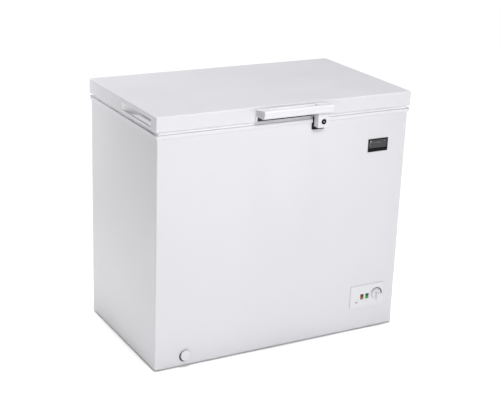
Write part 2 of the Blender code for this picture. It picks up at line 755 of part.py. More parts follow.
def make_handle(lid, plastic):
    """The plate on the lid's front, and the grip on it with a gap for the fingers."""
    half = HANDLE_WIDTH / 2
    face = -LID_Y - GAP
    plate = box("handle_base", (-half, -LID_Y - HANDLE_PLATE, LID_Z + HANDLE_PLATE_BOTTOM),
                (half, face, LID_Z + HANDLE_BACK_TOP), lid, plastic)
    rounded(plate, EDGE_RADIUS)
    grip = prism("handle_grip", handle_profile(), "X", -half, half, lid, plastic)
    rounded(grip, HANDLE_EDGE_RADIUS)
    inner = half - HANDLE_MOUNT_WIDTH
    bar_back = -LID_Y - HANDLE_REACH + HANDLE_BAR_DEPTH
    opening = [
        (-inner + HANDLE_MOUNT_FLARE, bar_back),
        (inner - HANDLE_MOUNT_FLARE, bar_back),
        (inner, -LID_Y - HANDLE_PLATE),
        (inner, -LID_Y + THROUGH),
        (-inner, -LID_Y + THROUGH),
        (-inner, -LID_Y - HANDLE_PLATE),
    ]
    cut(grip, prism("handle_finger_gap", opening, "Z", LID_Z - THROUGH, LID_TOP + THROUGH, lid))


def make_keeper(freezer, low_x, black):
    """The keeper on the cabinet's front, with the tongue that the cam turns under."""
    front = -LID_Y - GAP - KEEPER_PLATE
    low = low_x - KEEPER_OVERHANG
    high = low + KEEPER_WIDTH
    foot = box("lock_keeper", (low, front, LID_Z - LOCK_DROP - KEEPER_FOOT),
               (high, -WALL_Y - GAP, CABINET_HEIGHT - GAP), freezer, black)
    plate = box("keeper_plate", (low, front, LID_Z - LOCK_DROP),
                (high, -LID_Y - GAP, LID_Z - KEEPER_TOP_DROP), freezer)
    cut(foot, plate, "UNION")
    tongue_x = LOCK_X - CAM_HALF_WIDTH - TONGUE_CLEARANCE
    tongue_z = LOCK_AXIS.z + CAM_HALF_WIDTH + TONGUE_OVER_CAM
    tongue = box("keeper_tongue", (tongue_x - TONGUE_WIDTH, -LID_Y - TONGUE_REACH, tongue_z),
                 (tongue_x, front + KEEPER_PLATE / 2, tongue_z + TONGUE_THICKNESS), freezer)
    cut(foot, tongue, "UNION")


def make_lock(freezer, lid, lock, plastic, black, steel):
    """The housing under the handle, the keyed barrel with its cam, and the keeper on the cabinet."""
    low_x, high_x = LOCK_X - LOCK_WIDTH / 2, LOCK_X + LOCK_WIDTH / 2
    front, back = -LID_Y - LOCK_REACH, -LID_Y - LOCK_BACK
    bottom, top = LID_Z - LOCK_DROP, LID_Z + HANDLE_BOTTOM - GAP
    cam_front = -LID_Y - TONGUE_REACH
    pocket_front = cam_front - 2 * CAM_THICKNESS
    housing = box("lock_housing", (low_x, front, bottom), (high_x, back, top), lid, plastic)
    rounded(housing, LOCK_EDGE_RADIUS)
    pocket_top = LOCK_AXIS.z + CAM_REACH + CAM_MARGIN
    cut(housing, box("lock_pocket", (low_x + LOCK_WALL, pocket_front, bottom - THROUGH),
                     (high_x - LOCK_WALL, back + THROUGH, pocket_top), lid))
    bore = BARREL_RADIUS + RUNNING_GAP
    cut(housing, cylinder("lock_bore", bore, -THROUGH - LOCK_REACH, THROUGH, "Y", LOCK_AXIS, lid))

    # Heights along the barrel run backwards from its face.
    turn_back = pocket_front + LID_Y
    face = -LOCK_REACH - BARREL_PROUD
    spindle_end = -TONGUE_REACH + CAM_THICKNESS + CAM_MARGIN
    profile = [
        (0, face),
        (BARREL_RADIUS, face),
        (BARREL_RADIUS, turn_back),
        (SPINDLE_RADIUS, turn_back),
        (SPINDLE_RADIUS, spindle_end),
        (0, spindle_end),
    ]
    barrel = turned("lock_barrel", profile, "Y", LOCK_AXIS, lock, black)
    slot_x, slot_z = KEY_SLOT_WIDTH / 2, KEY_SLOT_HEIGHT / 2
    slot = box("key_slot", (LOCK_X - slot_x, -LID_Y + face - THROUGH, LOCK_AXIS.z - slot_z),
               (LOCK_X + slot_x, -LID_Y + face + KEY_SLOT_DEPTH, LOCK_AXIS.z + slot_z), lock)
    cut(barrel, slot)
    cam_x = CAM_HALF_WIDTH + CAM_MARGIN
    cam = box("lock_cam", (LOCK_X - cam_x, cam_front, LOCK_AXIS.z - CAM_REACH),
              (LOCK_X + cam_x, cam_front + CAM_THICKNESS, LOCK_AXIS.z + cam_x), lock, steel)
    hole = SPINDLE_RADIUS + GAP
    cut(cam, cylinder("cam_hole", hole, -THROUGH - TONGUE_REACH, THROUGH, "Y", LOCK_AXIS, lock))
    make_keeper(freezer, low_x, black)


def make_display(freezer, black, glass, board_green):
    """A bezel on the front wall, its body through the wall, the window and the board behind it."""
    wall = -WALL_Y
    half_x, half_z = DISPLAY_WIDTH / 2, DISPLAY_HEIGHT / 2
    front, back = wall - GAP - DISPLAY_PROUD, wall + DISPLAY_BODY_DEPTH
    frame = box("display_housing", (DISPLAY_X - half_x, front, DISPLAY_Z - half_z),
                (DISPLAY_X + half_x, wall - GAP, DISPLAY_Z + half_z), freezer, black)
    rounded(frame, FINE_EDGE_RADIUS)
    body_x, body_z = half_x - DISPLAY_LIP, half_z - DISPLAY_LIP
    body = box("display_body", (DISPLAY_X - body_x, front + DISPLAY_PROUD / 2, DISPLAY_Z - body_z),
               (DISPLAY_X + body_x, back, DISPLAY_Z + body_z), freezer)
    cut(frame, body, "UNION")
    centre_z = DISPLAY_Z + WINDOW_RISE
    pane_back = front + WINDOW_THICKNESS
    pane_x, pane_z = WINDOW_WIDTH / 2, WINDOW_HEIGHT / 2
    cut(frame, box("window_seat", (DISPLAY_X - pane_x - GAP, front - THROUGH, centre_z - pane_z - GAP),
                   (DISPLAY_X + pane_x + GAP, pane_back + GAP, centre_z + pane_z + GAP), freezer))
    room_x, room_z = pane_x - DISPLAY_LIP, pane_z - DISPLAY_LIP
    cut(frame, box("board_room", (DISPLAY_X - room_x, front, centre_z - room_z),
                   (DISPLAY_X + room_x, back - DISPLAY_BACK_WALL, centre_z + room_z), freezer))
    box("display_window", (DISPLAY_X - pane_x, front, centre_z - pane_z),
        (DISPLAY_X + pane_x, pane_back, centre_z + pane_z), freezer, glass)
    board_back = back - DISPLAY_BACK_WALL - GAP
    box("display_board", (DISPLAY_X - room_x + GAP, board_back - BOARD_THICKNESS, centre_z - room_z + GAP),
        (DISPLAY_X + room_x - GAP, board_back, centre_z + room_z - GAP), freezer, board_green)
    return box("display_wall_hole", (DISPLAY_X - body_x - GAP, wall - THROUGH, DISPLAY_Z - body_z - GAP),
               (DISPLAY_X + body_x + GAP, back + GAP, DISPLAY_Z + body_z + GAP), freezer)


def make_control_panel(freezer, plastic, orange, green):
    """The plate at the lower right with its two lamps. It returns the holes in the wall."""
    wall = -WALL_Y
    front = wall - GAP - PANEL_PROUD
    corners = round_rectangle(PANEL_WIDTH / 2, PANEL_HEIGHT / 2, PANEL_CORNER_RADIUS, 3)
    outline = [(PANEL_X + x, PANEL_Z + z) for x, z in corners]
    plate = prism("control_panel", outline, "Y", front, wall - GAP, freezer, plastic)
    rounded(plate, FINE_EDGE_RADIUS)
    holes = []
    for name, x, colour in (("orange", ORANGE_LAMP_X, orange), ("green", GREEN_LAMP_X, green)):
        low = Vector((x - LAMP_WIDTH / 2, front - LAMP_PROUD, LAMP_Z - LAMP_HEIGHT / 2))
        high = Vector((x + LAMP_WIDTH / 2, wall + LAMP_BODY_DEPTH, LAMP_Z + LAMP_HEIGHT / 2))
        rounded(box(f"lamp_{name}", low, high, freezer, colour), FINE_EDGE_RADIUS)
        room = Vector((GAP, THROUGH, GAP))
        holes.append(box(f"lamp_{name}_hole", low - room, high + room, freezer))
    bore = SHAFT_RADIUS + RUNNING_GAP
    holes.append(cylinder("shaft_hole", bore, -THROUGH, THROUGH, "Y", (KNOB_X, wall, KNOB_Z), freezer))
    for hole in holes:
        cut(plate, hole)
    return holes


def make_thermostat(freezer, knob, plastic, black):
    """The thermostat behind the panel, with its knob and shaft."""
    half_x, half_z = THERMOSTAT_WIDTH / 2, THERMOSTAT_HEIGHT / 2
    case_front = -WALL_Y + SHEET + GAP
    case = box("thermostat_box", (KNOB_X - half_x, case_front, KNOB_Z - half_z),
               (KNOB_X + half_x, case_front + THERMOSTAT_DEPTH, KNOB_Z + half_z), freezer, plastic)
    rounded(case, EDGE_RADIUS)
    bore, bore_depth = SHAFT_RADIUS + RUNNING_GAP, THROUGH / 2
    place = (KNOB_X, case_front, KNOB_Z)
    cut(case, cylinder("thermostat_bore", bore, -THROUGH, bore_depth, "Y", place, freezer))

    back = -WALL_Y - GAP - PANEL_PROUD - RUNNING_GAP
    place = Vector((KNOB_X, back, KNOB_Z))
    edge = EDGE_RADIUS
    profile = [
        (0, 0),
        (KNOB_RADIUS, 0),
        (KNOB_RADIUS, KNOB_SKIRT - edge),
        (KNOB_RADIUS - edge, KNOB_SKIRT),
        (KNOB_RADIUS - KNOB_RIM, KNOB_SKIRT + edge),
        (0, KNOB_SKIRT + 1.5 * edge),
    ]
    dial = turned("thermostat_knob", profile, "-Y", place, knob, plastic)
    ridge_x, ridge_z = KNOB_RIDGE_WIDTH / 2, KNOB_RADIUS - KNOB_RIDGE_INSET
    ridge = box("knob_ridge", (KNOB_X - ridge_x, back - KNOB_HEIGHT, KNOB_Z - ridge_z),
                (KNOB_X + ridge_x, back - 0.3 * KNOB_SKIRT, KNOB_Z + ridge_z), knob)
    rounded(ridge, RIDGE_EDGE_RADIUS)
    cut(dial, ridge, "UNION")
    shaft_end = case_front - back + bore_depth - EDGE_RADIUS
    cylinder("thermostat_shaft", SHAFT_RADIUS, GAP, shaft_end, "Y", place, knob, black)


def make_drain(freezer, cap, stopper, plastic):
    """A pipe from the liner's floor to the front wall, with a stopper inside and a cap outside."""
    wall_y = -WALL_Y
    rise_y = wall_y + DRAIN_BEHIND_WALL
    r = DRAIN_PIPE_RADIUS
    top = FLOOR_THICKNESS - LINER_SHEET - GAP
    bend = min(1.5 * r, top - DRAIN_Z - DRAIN_PIPE_WALL)
    route = [(DRAIN_X, wall_y, DRAIN_Z)]
    route += [(DRAIN_X, py, pz) for py, pz in arc((rise_y - bend, DRAIN_Z + bend), bend, -90, 0, 6)]
    route.append((DRAIN_X, rise_y, top))
    bore = r - DRAIN_PIPE_WALL
    tube("drain_pipe", route, r, freezer, plastic, inner_radius=bore, sides=24)
    pocket = r + 2 * GAP
    channel = box("drain_channel", (DRAIN_X - pocket, wall_y - THROUGH, DRAIN_Z - pocket),
                  (DRAIN_X + pocket, rise_y + pocket, FLOOR_THICKNESS), freezer)
    wall_place, floor_place = (DRAIN_X, wall_y, DRAIN_Z), (DRAIN_X, rise_y, FLOOR_THICKNESS)
    wall_hole = cylinder("drain_wall_hole", r + GAP, -THROUGH, THROUGH, "Y", wall_place, freezer)
    floor_hole = cylinder("drain_floor_hole", bore, -THROUGH, THROUGH, "Z", floor_place, freezer)

    plug = STOPPER_FIT * bore - RUNNING_GAP
    flange = bore + STOPPER_FLANGE
    profile = [
        (0, -STOPPER_DEPTH),
        (plug - EDGE_RADIUS, -STOPPER_DEPTH),
        (plug, EDGE_RADIUS - STOPPER_DEPTH),
        (plug, GAP),
        (flange, GAP),
        (flange, STOPPER_FLANGE),
        (STOPPER_PEG_RADIUS, STOPPER_FLANGE + EDGE_RADIUS),
        (STOPPER_PEG_RADIUS, STOPPER_HEIGHT),
        (0, STOPPER_HEIGHT),
    ]
    turned("drain_stopper", profile, "Z", floor_place, stopper, plastic)

    profile = [
        (0, -CAP_PLUG_DEPTH),
        (plug, -CAP_PLUG_DEPTH),
        (plug, GAP),
        (DRAIN_CAP_RADIUS, GAP),
        (DRAIN_CAP_RADIUS, DRAIN_CAP_PROUD - CAP_EDGE),
        (DRAIN_CAP_RADIUS - CAP_EDGE, DRAIN_CAP_PROUD),
        (0, DRAIN_CAP_PROUD),
    ]
    turned("drain_cap", profile, "-Y", wall_place, cap, plastic)
    return channel, wall_hole, floor_hole


def make_basket(basket, steel):
    """The hanging basket as an open box, with lips that rest on the collar's ledge."""
    half_y = INSIDE_Y - BASKET_SIDE_CLEARANCE
    right = INSIDE_X - BASKET_SIDE_CLEARANCE
    left = right - BASKET_LENGTH
    ledge = COLLAR_TOP - COLLAR_LEDGE_DEPTH + GAP
    top = ledge + BASKET_WALL
    low = top - BASKET_DEPTH
    tub = box("basket", (left, -half_y, low), (right, half_y, top), basket, steel)
    hook = half_y + BASKET_HOOK_REACH
    lips = box("basket_lips", (left + BASKET_LIP_INSET, -hook, ledge),
               (right - BASKET_LIP_INSET, hook, top), basket)
    cut(tub, lips, "UNION")
    wall = BASKET_WALL
    cut(tub, box("basket_inside", (left + wall, -half_y + wall, low + wall),
                 (right - wall, half_y - wall, top + THROUGH), basket))


def make_tray(freezer, steel, bends):
    """The sheet under the compressor."""
    edge = WALL_X - SHEET - GAP
    depth = WALL_Y - SHEET - GAP
    tray = box("compressor_tray", (BAY_X + GAP, -depth, 0), (edge, depth, TRAY_SHEET), freezer, steel)
    for cutter in bends:
        cut(tray, cutter)


def compressor_profile():
    """The domed shell with its welded seam, as (radius, height) pairs from the bottom to the top."""
    r, h = COMPRESSOR_RADIUS, COMPRESSOR_HEIGHT
    seam = r + SHELL_SEAM
    floor = 0.55 * r
    dome, crown = SHELL_DOME * h, 1.2 * SHELL_DOME * h
    profile = [(0, 0), (floor, 0)]
    for degrees in (30, 60, 90):
        a = math.radians(degrees)
        profile.append((floor + (r - floor) * math.sin(a), dome * (1 - math.cos(a))))
    profile += [(r, 0.5 * h), (seam, 0.5 * h), (seam, 0.53 * h), (r, 0.53 * h)]
    for degrees in (0, 25, 50, 70):
        a = math.radians(degrees)
        profile.append((r * math.cos(a), h - crown * (1 - math.sin(a))))
    profile.append((0, h))
    return profile


def make_compressor(freezer, black, rubber, plastic):
    """The compressor on its four grommets, and the relay's cover on its side."""
    x, y = COMPRESSOR_X, COMPRESSOR_Y
    shell = turned("compressor_shell", compressor_profile(), "Z", (x, y, COMPRESSOR_BASE), freezer, black)
    reach_x, reach_y = MOUNT_X + COMPRESSOR_FOOT_MARGIN, MOUNT_Y + COMPRESSOR_FOOT_MARGIN
    feet = box("compressor_feet", (x - reach_x, y - reach_y, COMPRESSOR_FOOT_Z),
               (x + reach_x, y + reach_y, COMPRESSOR_FOOT_Z + COMPRESSOR_FOOT), freezer)
    cut(shell, feet, "UNION")
    profile = [
        (0, GAP),
        (GROMMET_RADIUS, GAP),
        (0.8 * GROMMET_RADIUS, GROMMET_HEIGHT / 2),
        (GROMMET_RADIUS, GROMMET_HEIGHT),
        (0, GROMMET_HEIGHT),
    ]
    spots = [(sx * MOUNT_X, sy * MOUNT_Y) for sx in (-1, 1) for sy in (-1, 1)]
    for number, (dx, dy) in enumerate(spots, 1):
        turned(f"grommet_{number}", profile, "Z", (x + dx, y + dy, TRAY_SHEET), freezer, rubber, 20)

    side = x - COMPRESSOR_RADIUS - SHELL_SEAM - GAP
    low_z, high_z = (COMPRESSOR_BASE + part * COMPRESSOR_HEIGHT for part in (0.45, 0.75))
    relay = box("start_relay_cover", (side - RELAY_DEPTH, y - RELAY_WIDTH / 2, low_z),
                (side, y + RELAY_WIDTH / 2, high_z), freezer, plastic)
    rounded(relay, RELAY_EDGE_RADIUS)


def make_pipes(freezer, copper):
    """The suction pipe from the shell into the foam, the drier, and the pipe between the two."""
    x, y = COMPRESSOR_X, COMPRESSOR_Y
    top = COMPRESSOR_BASE + COMPRESSOR_HEIGHT + 2 * GAP
    route = [(x, y + back, top + up) for back, up in SUCTION_ROUTE]
    route.append((x, y + SUCTION_ROUTE[-1][0], BAY_HEIGHT - 2 * GAP))
    tube("suction_pipe", route, SUCTION_TUBE / 2, freezer, copper)

    drier_x, drier_y = BAY_X + DRIER_FROM_BAY, y - MOUNT_Y - DRIER_BEFORE_MOUNT
    drier_z = COMPRESSOR_BASE + DRIER_RISE
    neck, r, taper, length = DRIER_NECK, DRIER_RADIUS, DRIER_TAPER, DRIER_LENGTH
    profile = [(0, 0), (neck, 0), (r, taper), (r, length - taper), (neck, length), (0, length)]
    turned("filter_drier", profile, "Z", (drier_x, drier_y, drier_z), freezer, copper, 20)

    start_y = y - COMPRESSOR_RADIUS - SHELL_SEAM - 2 * GAP - DISCHARGE_TUBE / 2
    route = [
        (x, start_y, COMPRESSOR_BASE + 0.3 * COMPRESSOR_HEIGHT),
        (x, start_y, COMPRESSOR_BASE + 0.15 * COMPRESSOR_HEIGHT),
        (x - DISCHARGE_BEND, start_y - 0.6 * DISCHARGE_BEND, COMPRESSOR_BASE + 0.08 * COMPRESSOR_HEIGHT),
        (drier_x + DISCHARGE_BEND, drier_y - DISCHARGE_BEND, drier_z - 0.8 * DISCHARGE_BEND),
        (drier_x, drier_y, drier_z - DISCHARGE_BEND / 2),
        (drier_x, drier_y, drier_z - GAP),
    ]
    tube("discharge_pipe", route, DISCHARGE_TUBE / 2, freezer, copper, sides=6)


def make_rear_grille(freezer, steel, black):
    """The slotted sheet that closes the compressor bay, its four screws and the cord's gland."""
    left, right = BAY_X + GAP, WALL_X - SHEET - GAP
    low, high = TRAY_SHEET + GAP, BAY_HEIGHT - GAP
    grille = box("rear_grille", (left, WALL_Y - SHEET, low), (right, WALL_Y, high), freezer, steel)
    pitch = (right - left - 2 * VENT_MARGIN) / (VENT_SLOTS - 1)
    for k in range(VENT_SLOTS):
        x = left + VENT_MARGIN + pitch * k
        slot = box(f"vent_slot_{k}", (x - VENT_WIDTH / 2, WALL_Y - THROUGH, VENT_LOW),
                   (x + VENT_WIDTH / 2, WALL_Y + THROUGH, high - VENT_MARGIN), freezer)
        cut(grille, slot)
    head, shank = SCREW_HEAD_RADIUS, SCREW_RADIUS
    screw = [
        (0, SCREW_HEAD),
        (0.75 * head, SCREW_HEAD - GAP),
        (head, GAP),
        (shank, GAP),
        (shank, -SCREW_LENGTH),
        (0, -SCREW_LENGTH - EDGE_RADIUS),
    ]
    spots = [(x, z) for x in (left + SCREW_MARGIN, right - SCREW_MARGIN)
             for z in (low + SCREW_MARGIN, high - SCREW_MARGIN)]
    for number, (x, z) in enumerate(spots, 1):
        place = (x, WALL_Y, z)
        hole = cylinder(f"screw_hole_{number}", shank + RUNNING_GAP, -THROUGH, THROUGH, "Y", place, freezer,
                        segments=16)
        cut(grille, hole)
        turned(f"grille_screw_{number}", screw, "Y", place, freezer, steel, 16)

    place = (right - GLAND_MARGIN, WALL_Y, low + GLAND_MARGIN)
    cut(grille, cylinder("gland_hole", GLAND_RADIUS + GAP, -THROUGH, THROUGH, "Y", place, freezer))
    flange = GLAND_RADIUS + GLAND_FLANGE
    profile = [
        (0, -GLAND_DEPTH),
        (GLAND_RADIUS, -GLAND_DEPTH),
        (GLAND_RADIUS, GAP),
        (flange, GAP),
        (flange - EDGE_RADIUS, GLAND_FLANGE),
        (GLAND_RADIUS - EDGE_RADIUS, GLAND_HEIGHT),
        (0, GLAND_HEIGHT),
    ]
    gland = turned("cord_gland", profile, "Y", place, freezer, black)
    cut(gland, cylinder("gland_bore", CORD_RADIUS, -THROUGH, THROUGH, "Y", place, freezer))


def make_feet(freezer, rubber):
    """Four low rubber feet under the cabinet."""
    x, y = WALL_X - FOOT_FROM_END, WALL_Y - FOOT_FROM_FRONT
    sole = FOOT_RADIUS - 2 * EDGE_RADIUS
    profile = [
        (0, -FOOT_HEIGHT),
        (sole, -FOOT_HEIGHT),
        (FOOT_RADIUS, -FOOT_HEIGHT / 2),
        (FOOT_RADIUS, -GAP),
        (0, -GAP),
    ]
    spots = [(sx * x, sy * y) for sx in (-1, 1) for sy in (-1, 1)]
    for number, (foot_x, foot_y) in enumerate(spots, 1):
        turned(f"foot_{number}", profile, "Z", (foot_x, foot_y, 0), freezer, rubber, 24)


def main():
    for obj in list(bpy.data.objects):
        bpy.data.objects.remove(obj, do_unlink=True)

    paint = finish("white_paint", WHITE, 0.35)
    white_plastic = finish("white_plastic", (0.85, 0.86, 0.87), 0.4)
    foam = finish("insulation_foam", (0.85, 0.76, 0.50), 0.9)
    aluminium = finish("embossed_aluminium", (0.80, 0.81, 0.82), 0.35, 0.9)
    galvanised = finish("galvanised_steel", (0.62, 0.63, 0.65), 0.45, 0.9)
    copper = finish("copper_tube", (0.72, 0.38, 0.22), 0.35, 1.0)
    black_plastic = finish("black_plastic", (0.02, 0.02, 0.022), 0.4)
    black_paint = finish("black_paint", (0.015, 0.015, 0.017), 0.3)
    rubber = finish("grey_rubber", (0.55, 0.56, 0.57), 0.7)
    black_rubber = finish("black_rubber", (0.03, 0.03, 0.03), 0.8)
    glass = finish("dark_window", (0.05, 0.055, 0.06), 0.1)
    board = finish("circuit_board", (0.03, 0.20, 0.09), 0.5)
    orange = finish("orange_lens", (0.85, 0.30, 0.04), 0.2)
    green = finish("green_lens", (0.10, 0.55, 0.12), 0.2)
    wire = finish("coated_wire", (0.88, 0.88, 0.88), 0.4)

    freezer = pivot("freezer", (0, 0, 0))
    freezer.location = FREEZER_PLACE
    lid = pivot("lid_axis", HINGE_AXIS, freezer)
    lock = pivot("lock_axis", LOCK_AXIS, lid)
    knob = pivot("knob_axis", (KNOB_X, -WALL_Y, KNOB_Z), freezer)
    cap = pivot("drain_cap_axis", (DRAIN_X, -WALL_Y, DRAIN_Z), freezer)
    stopper = pivot("drain_stopper_axis", (DRAIN_X, -WALL_Y + DRAIN_BEHIND_WALL, FLOOR_THICKNESS), freezer)
    basket = pivot("basket_axis", (INSIDE_X, 0, COLLAR_TOP), freezer)

    display_hole = make_display(freezer, black_plastic, glass, board)
    panel_holes = make_control_panel(freezer, white_plastic, orange, green)
    make_thermostat(freezer, knob, white_plastic, black_plastic)
    drain_channel, drain_wall_hole, drain_floor_hole = make_drain(freezer, cap, stopper, white_plastic)

    make_outer_wrap(freezer, paint, [display_hole, *panel_holes, drain_wall_hole])
    make_back_panel(freezer, paint)
    bends = front_bends(freezer)
    make_base_pan(freezer, galvanised, bends)
    make_foam(freezer, foam, [display_hole, drain_channel], bends)
    make_liner(freezer, aluminium, drain_floor_hole)
    make_collar(freezer, white_plastic)
    make_coils(freezer, copper, galvanised)
    make_lid(lid, paint, foam, white_plastic, rubber)
    for name, x in (("left", -HINGE_X), ("right", HINGE_X)):
        make_hinge(name, x, freezer, lid, galvanised)
    make_handle(lid, white_plastic)
    make_lock(freezer, lid, lock, white_plastic, black_plastic, galvanised)
    make_basket(basket, wire)
    make_tray(freezer, galvanised, bends)
    make_compressor(freezer, black_paint, black_rubber, black_plastic)
    make_pipes(freezer, copper)
    make_rear_grille(freezer, galvanised, black_plastic)
    make_feet(freezer, black_rubber)


main()
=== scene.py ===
"""The looks of a small white chest freezer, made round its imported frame. Lengths are metres, +Z is up."""

from __future__ import annotations

import json
import logging
import math
from dataclasses import dataclass
from enum import Enum

import bmesh
import bpy
import numpy as np
from mathutils import Matrix, Vector

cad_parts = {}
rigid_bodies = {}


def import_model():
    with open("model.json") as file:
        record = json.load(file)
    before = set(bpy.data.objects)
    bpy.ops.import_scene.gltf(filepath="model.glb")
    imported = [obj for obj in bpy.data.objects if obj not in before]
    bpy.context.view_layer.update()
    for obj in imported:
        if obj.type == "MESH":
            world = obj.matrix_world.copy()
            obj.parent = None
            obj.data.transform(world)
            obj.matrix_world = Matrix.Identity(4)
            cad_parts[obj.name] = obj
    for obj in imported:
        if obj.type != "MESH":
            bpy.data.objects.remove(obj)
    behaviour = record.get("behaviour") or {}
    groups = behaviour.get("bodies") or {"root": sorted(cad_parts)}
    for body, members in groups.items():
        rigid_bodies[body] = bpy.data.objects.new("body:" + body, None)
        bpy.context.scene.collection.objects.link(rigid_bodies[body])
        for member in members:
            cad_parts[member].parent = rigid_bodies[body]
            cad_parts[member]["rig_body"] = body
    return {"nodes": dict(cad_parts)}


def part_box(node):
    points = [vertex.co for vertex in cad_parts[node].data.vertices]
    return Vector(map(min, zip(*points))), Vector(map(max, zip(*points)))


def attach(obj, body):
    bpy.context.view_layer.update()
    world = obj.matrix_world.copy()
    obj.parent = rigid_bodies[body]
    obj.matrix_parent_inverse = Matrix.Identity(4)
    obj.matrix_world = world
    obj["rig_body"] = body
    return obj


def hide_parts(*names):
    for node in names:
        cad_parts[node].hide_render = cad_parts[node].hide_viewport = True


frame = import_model()

LOG = logging.getLogger("freezer")
Array = np.ndarray
Profile = list[tuple[float, float]]

MERGE = 2e-6  # points nearer than this become one
CAD_MERGE = 1e-6
FLAT_ANGLE = 0.5  # degrees between triangles that make one flat face
TINY = 1e-5  # the smallest radius
ASIDE = (0.31, 0.52, 0.80)  # a direction that no pipe starts along
MOST_OF_CORNER = 0.9  # how much of a corner's radius an edge may take away
PRINT_SHARP = 60.0  # degrees; thin prints and rings keep their edges

COAT_ROUGHNESS = 0.12
TONE_SCALE = 7.0  # per metre
TONE_DETAIL = 4.0
TONE_RANGE = (0.3, 0.7)  # the part of the noise that moves the roughness
ROUGHNESS_SWING = 0.04
LEAST_ROUGHNESS = 0.02
FOAM_DETAIL = 6.0
GRAIN_DETAIL = 2.0
BRUSH_STRETCH = (0.04, 1.0, 1.0)


# ---------------------------------------------------------------- finishes


class Grain(Enum):
    """The relief that a finish has on its surface."""

    PEEL = "orange peel of powder coat"
    MOULD = "fine spark texture of moulded plastic"
    STUCCO = "embossed sheet"
    SPANGLE = "zinc crystals"
    BRUSHED = "drawn lines"
    FOAM = "open cells"


@dataclass(frozen=True)
class Relief:
    """The fine relief of a surface.

    Args:
        grain: Its kind.
        size: Its pitch in metres.
        depth: Its height in metres.
    """

    grain: Grain
    size: float
    depth: float


@dataclass(frozen=True)
class Finish:
    """One material: a Principled shader with a relief and a slight change of tone over the piece.

    Args:
        name: The material's name.
        colour: Linear red, green and blue.
        roughness: The shader's roughness in the middle of its variation.
        metallic: 0 for paint and plastic, 1 for bare metal.
        coat: The weight of a clear coat.
        specular: The shader's specular level.
        relief: The relief, or none where the surface is smooth.
        tone: How far the colour changes, as a share of it.
        slot: The record's material slot, not used.
    """

    name: str
    colour: tuple[float, float, float]
    roughness: float
    metallic: float = 0.0
    coat: float = 0.0
    specular: float = 0.5
    relief: Relief | None = None
    tone: float = 0.03
    slot: str = ""

    def material(self) -> bpy.types.Material:
        """Makes the material once.

        Returns:
            The same material each time.
        """
        label = f"finish_{self.name}"
        found = bpy.data.materials.get(label)
        if found:
            return found
        made = bpy.data.materials.new(label)
        made.use_nodes = True
        tree = made.node_tree
        shader = tree.nodes["Principled BSDF"]
        shader.inputs["Metallic"].default_value = self.metallic
        shader.inputs["Coat Weight"].default_value = self.coat
        shader.inputs["Coat Roughness"].default_value = COAT_ROUGHNESS
        shader.inputs["Specular IOR Level"].default_value = self.specular
        place = tree.nodes.new("ShaderNodeTexCoord").outputs["Object"]
        self._tone(tree, shader, place)
        self._relief(tree, shader, place)
        return made

    def _tone(self, tree: bpy.types.NodeTree, shader: bpy.types.Node, place: bpy.types.NodeSocket) -> None:
        """Mixes the colour and the roughness with broad soft noise, as paint and mouldings vary.

        Args:
            tree: The material's nodes.
            shader: Its Principled shader.
            place: The socket that gives the place on the object.
        """
        noise = tree.nodes.new("ShaderNodeTexNoise")
        noise.inputs["Scale"].default_value = TONE_SCALE
        noise.inputs["Detail"].default_value = TONE_DETAIL
        tree.links.new(place, noise.inputs["Vector"])
        ramp = tree.nodes.new("ShaderNodeMapRange")
        ramp.inputs["From Min"].default_value, ramp.inputs["From Max"].default_value = TONE_RANGE
        ramp.inputs["To Min"].default_value = max(LEAST_ROUGHNESS, self.roughness - ROUGHNESS_SWING)
        ramp.inputs["To Max"].default_value = min(1.0, self.roughness + ROUGHNESS_SWING)
        tree.links.new(noise.outputs["Fac"], ramp.inputs["Value"])
        tree.links.new(ramp.outputs["Result"], shader.inputs["Roughness"])
        mix = tree.nodes.new("ShaderNodeMix")
        mix.data_type = "RGBA"
        mix.inputs["A"].default_value = (*(c * (1 - self.tone) for c in self.colour), 1)
        mix.inputs["B"].default_value = (*(min(1.0, c * (1 + self.tone)) for c in self.colour), 1)
        tree.links.new(noise.outputs["Fac"], mix.inputs["Factor"])
        tree.links.new(mix.outputs["Result"], shader.inputs["Base Color"])

    def _relief(self, tree: bpy.types.NodeTree, shader: bpy.types.Node, place: bpy.types.NodeSocket) -> None:
        """Adds the grain as a bump: noise for peel, mould and foam, cells for stucco and spangle.

        Args:
            tree: The material's nodes.
            shader: Its Principled shader.
            place: The socket that gives the place on the object.
        """
        if self.relief is None:
            return
        grain = self.relief.grain
        if grain in (Grain.STUCCO, Grain.SPANGLE):
            texture = tree.nodes.new("ShaderNodeTexVoronoi")
            texture.feature = "SMOOTH_F1" if grain is Grain.STUCCO else "F1"
            height = texture.outputs["Distance"]
        else:
            texture = tree.nodes.new("ShaderNodeTexNoise")
            texture.inputs["Detail"].default_value = FOAM_DETAIL if grain is Grain.FOAM else GRAIN_DETAIL
            height = texture.outputs["Fac"]
        texture.inputs["Scale"].default_value = 1 / self.relief.size
        source = place
        if grain is Grain.BRUSHED:
            mapping = tree.nodes.new("ShaderNodeMapping")
            mapping.inputs["Scale"].default_value = BRUSH_STRETCH
            tree.links.new(place, mapping.inputs["Vector"])
            source = mapping.outputs["Vector"]
        tree.links.new(source, texture.inputs["Vector"])
        bump = tree.nodes.new("ShaderNodeBump")
        bump.inputs["Distance"].default_value = self.relief.depth
        bump.inputs["Strength"].default_value = 1.0
        tree.links.new(height, bump.inputs["Height"])
        tree.links.new(bump.outputs["Normal"], shader.inputs["Normal"])


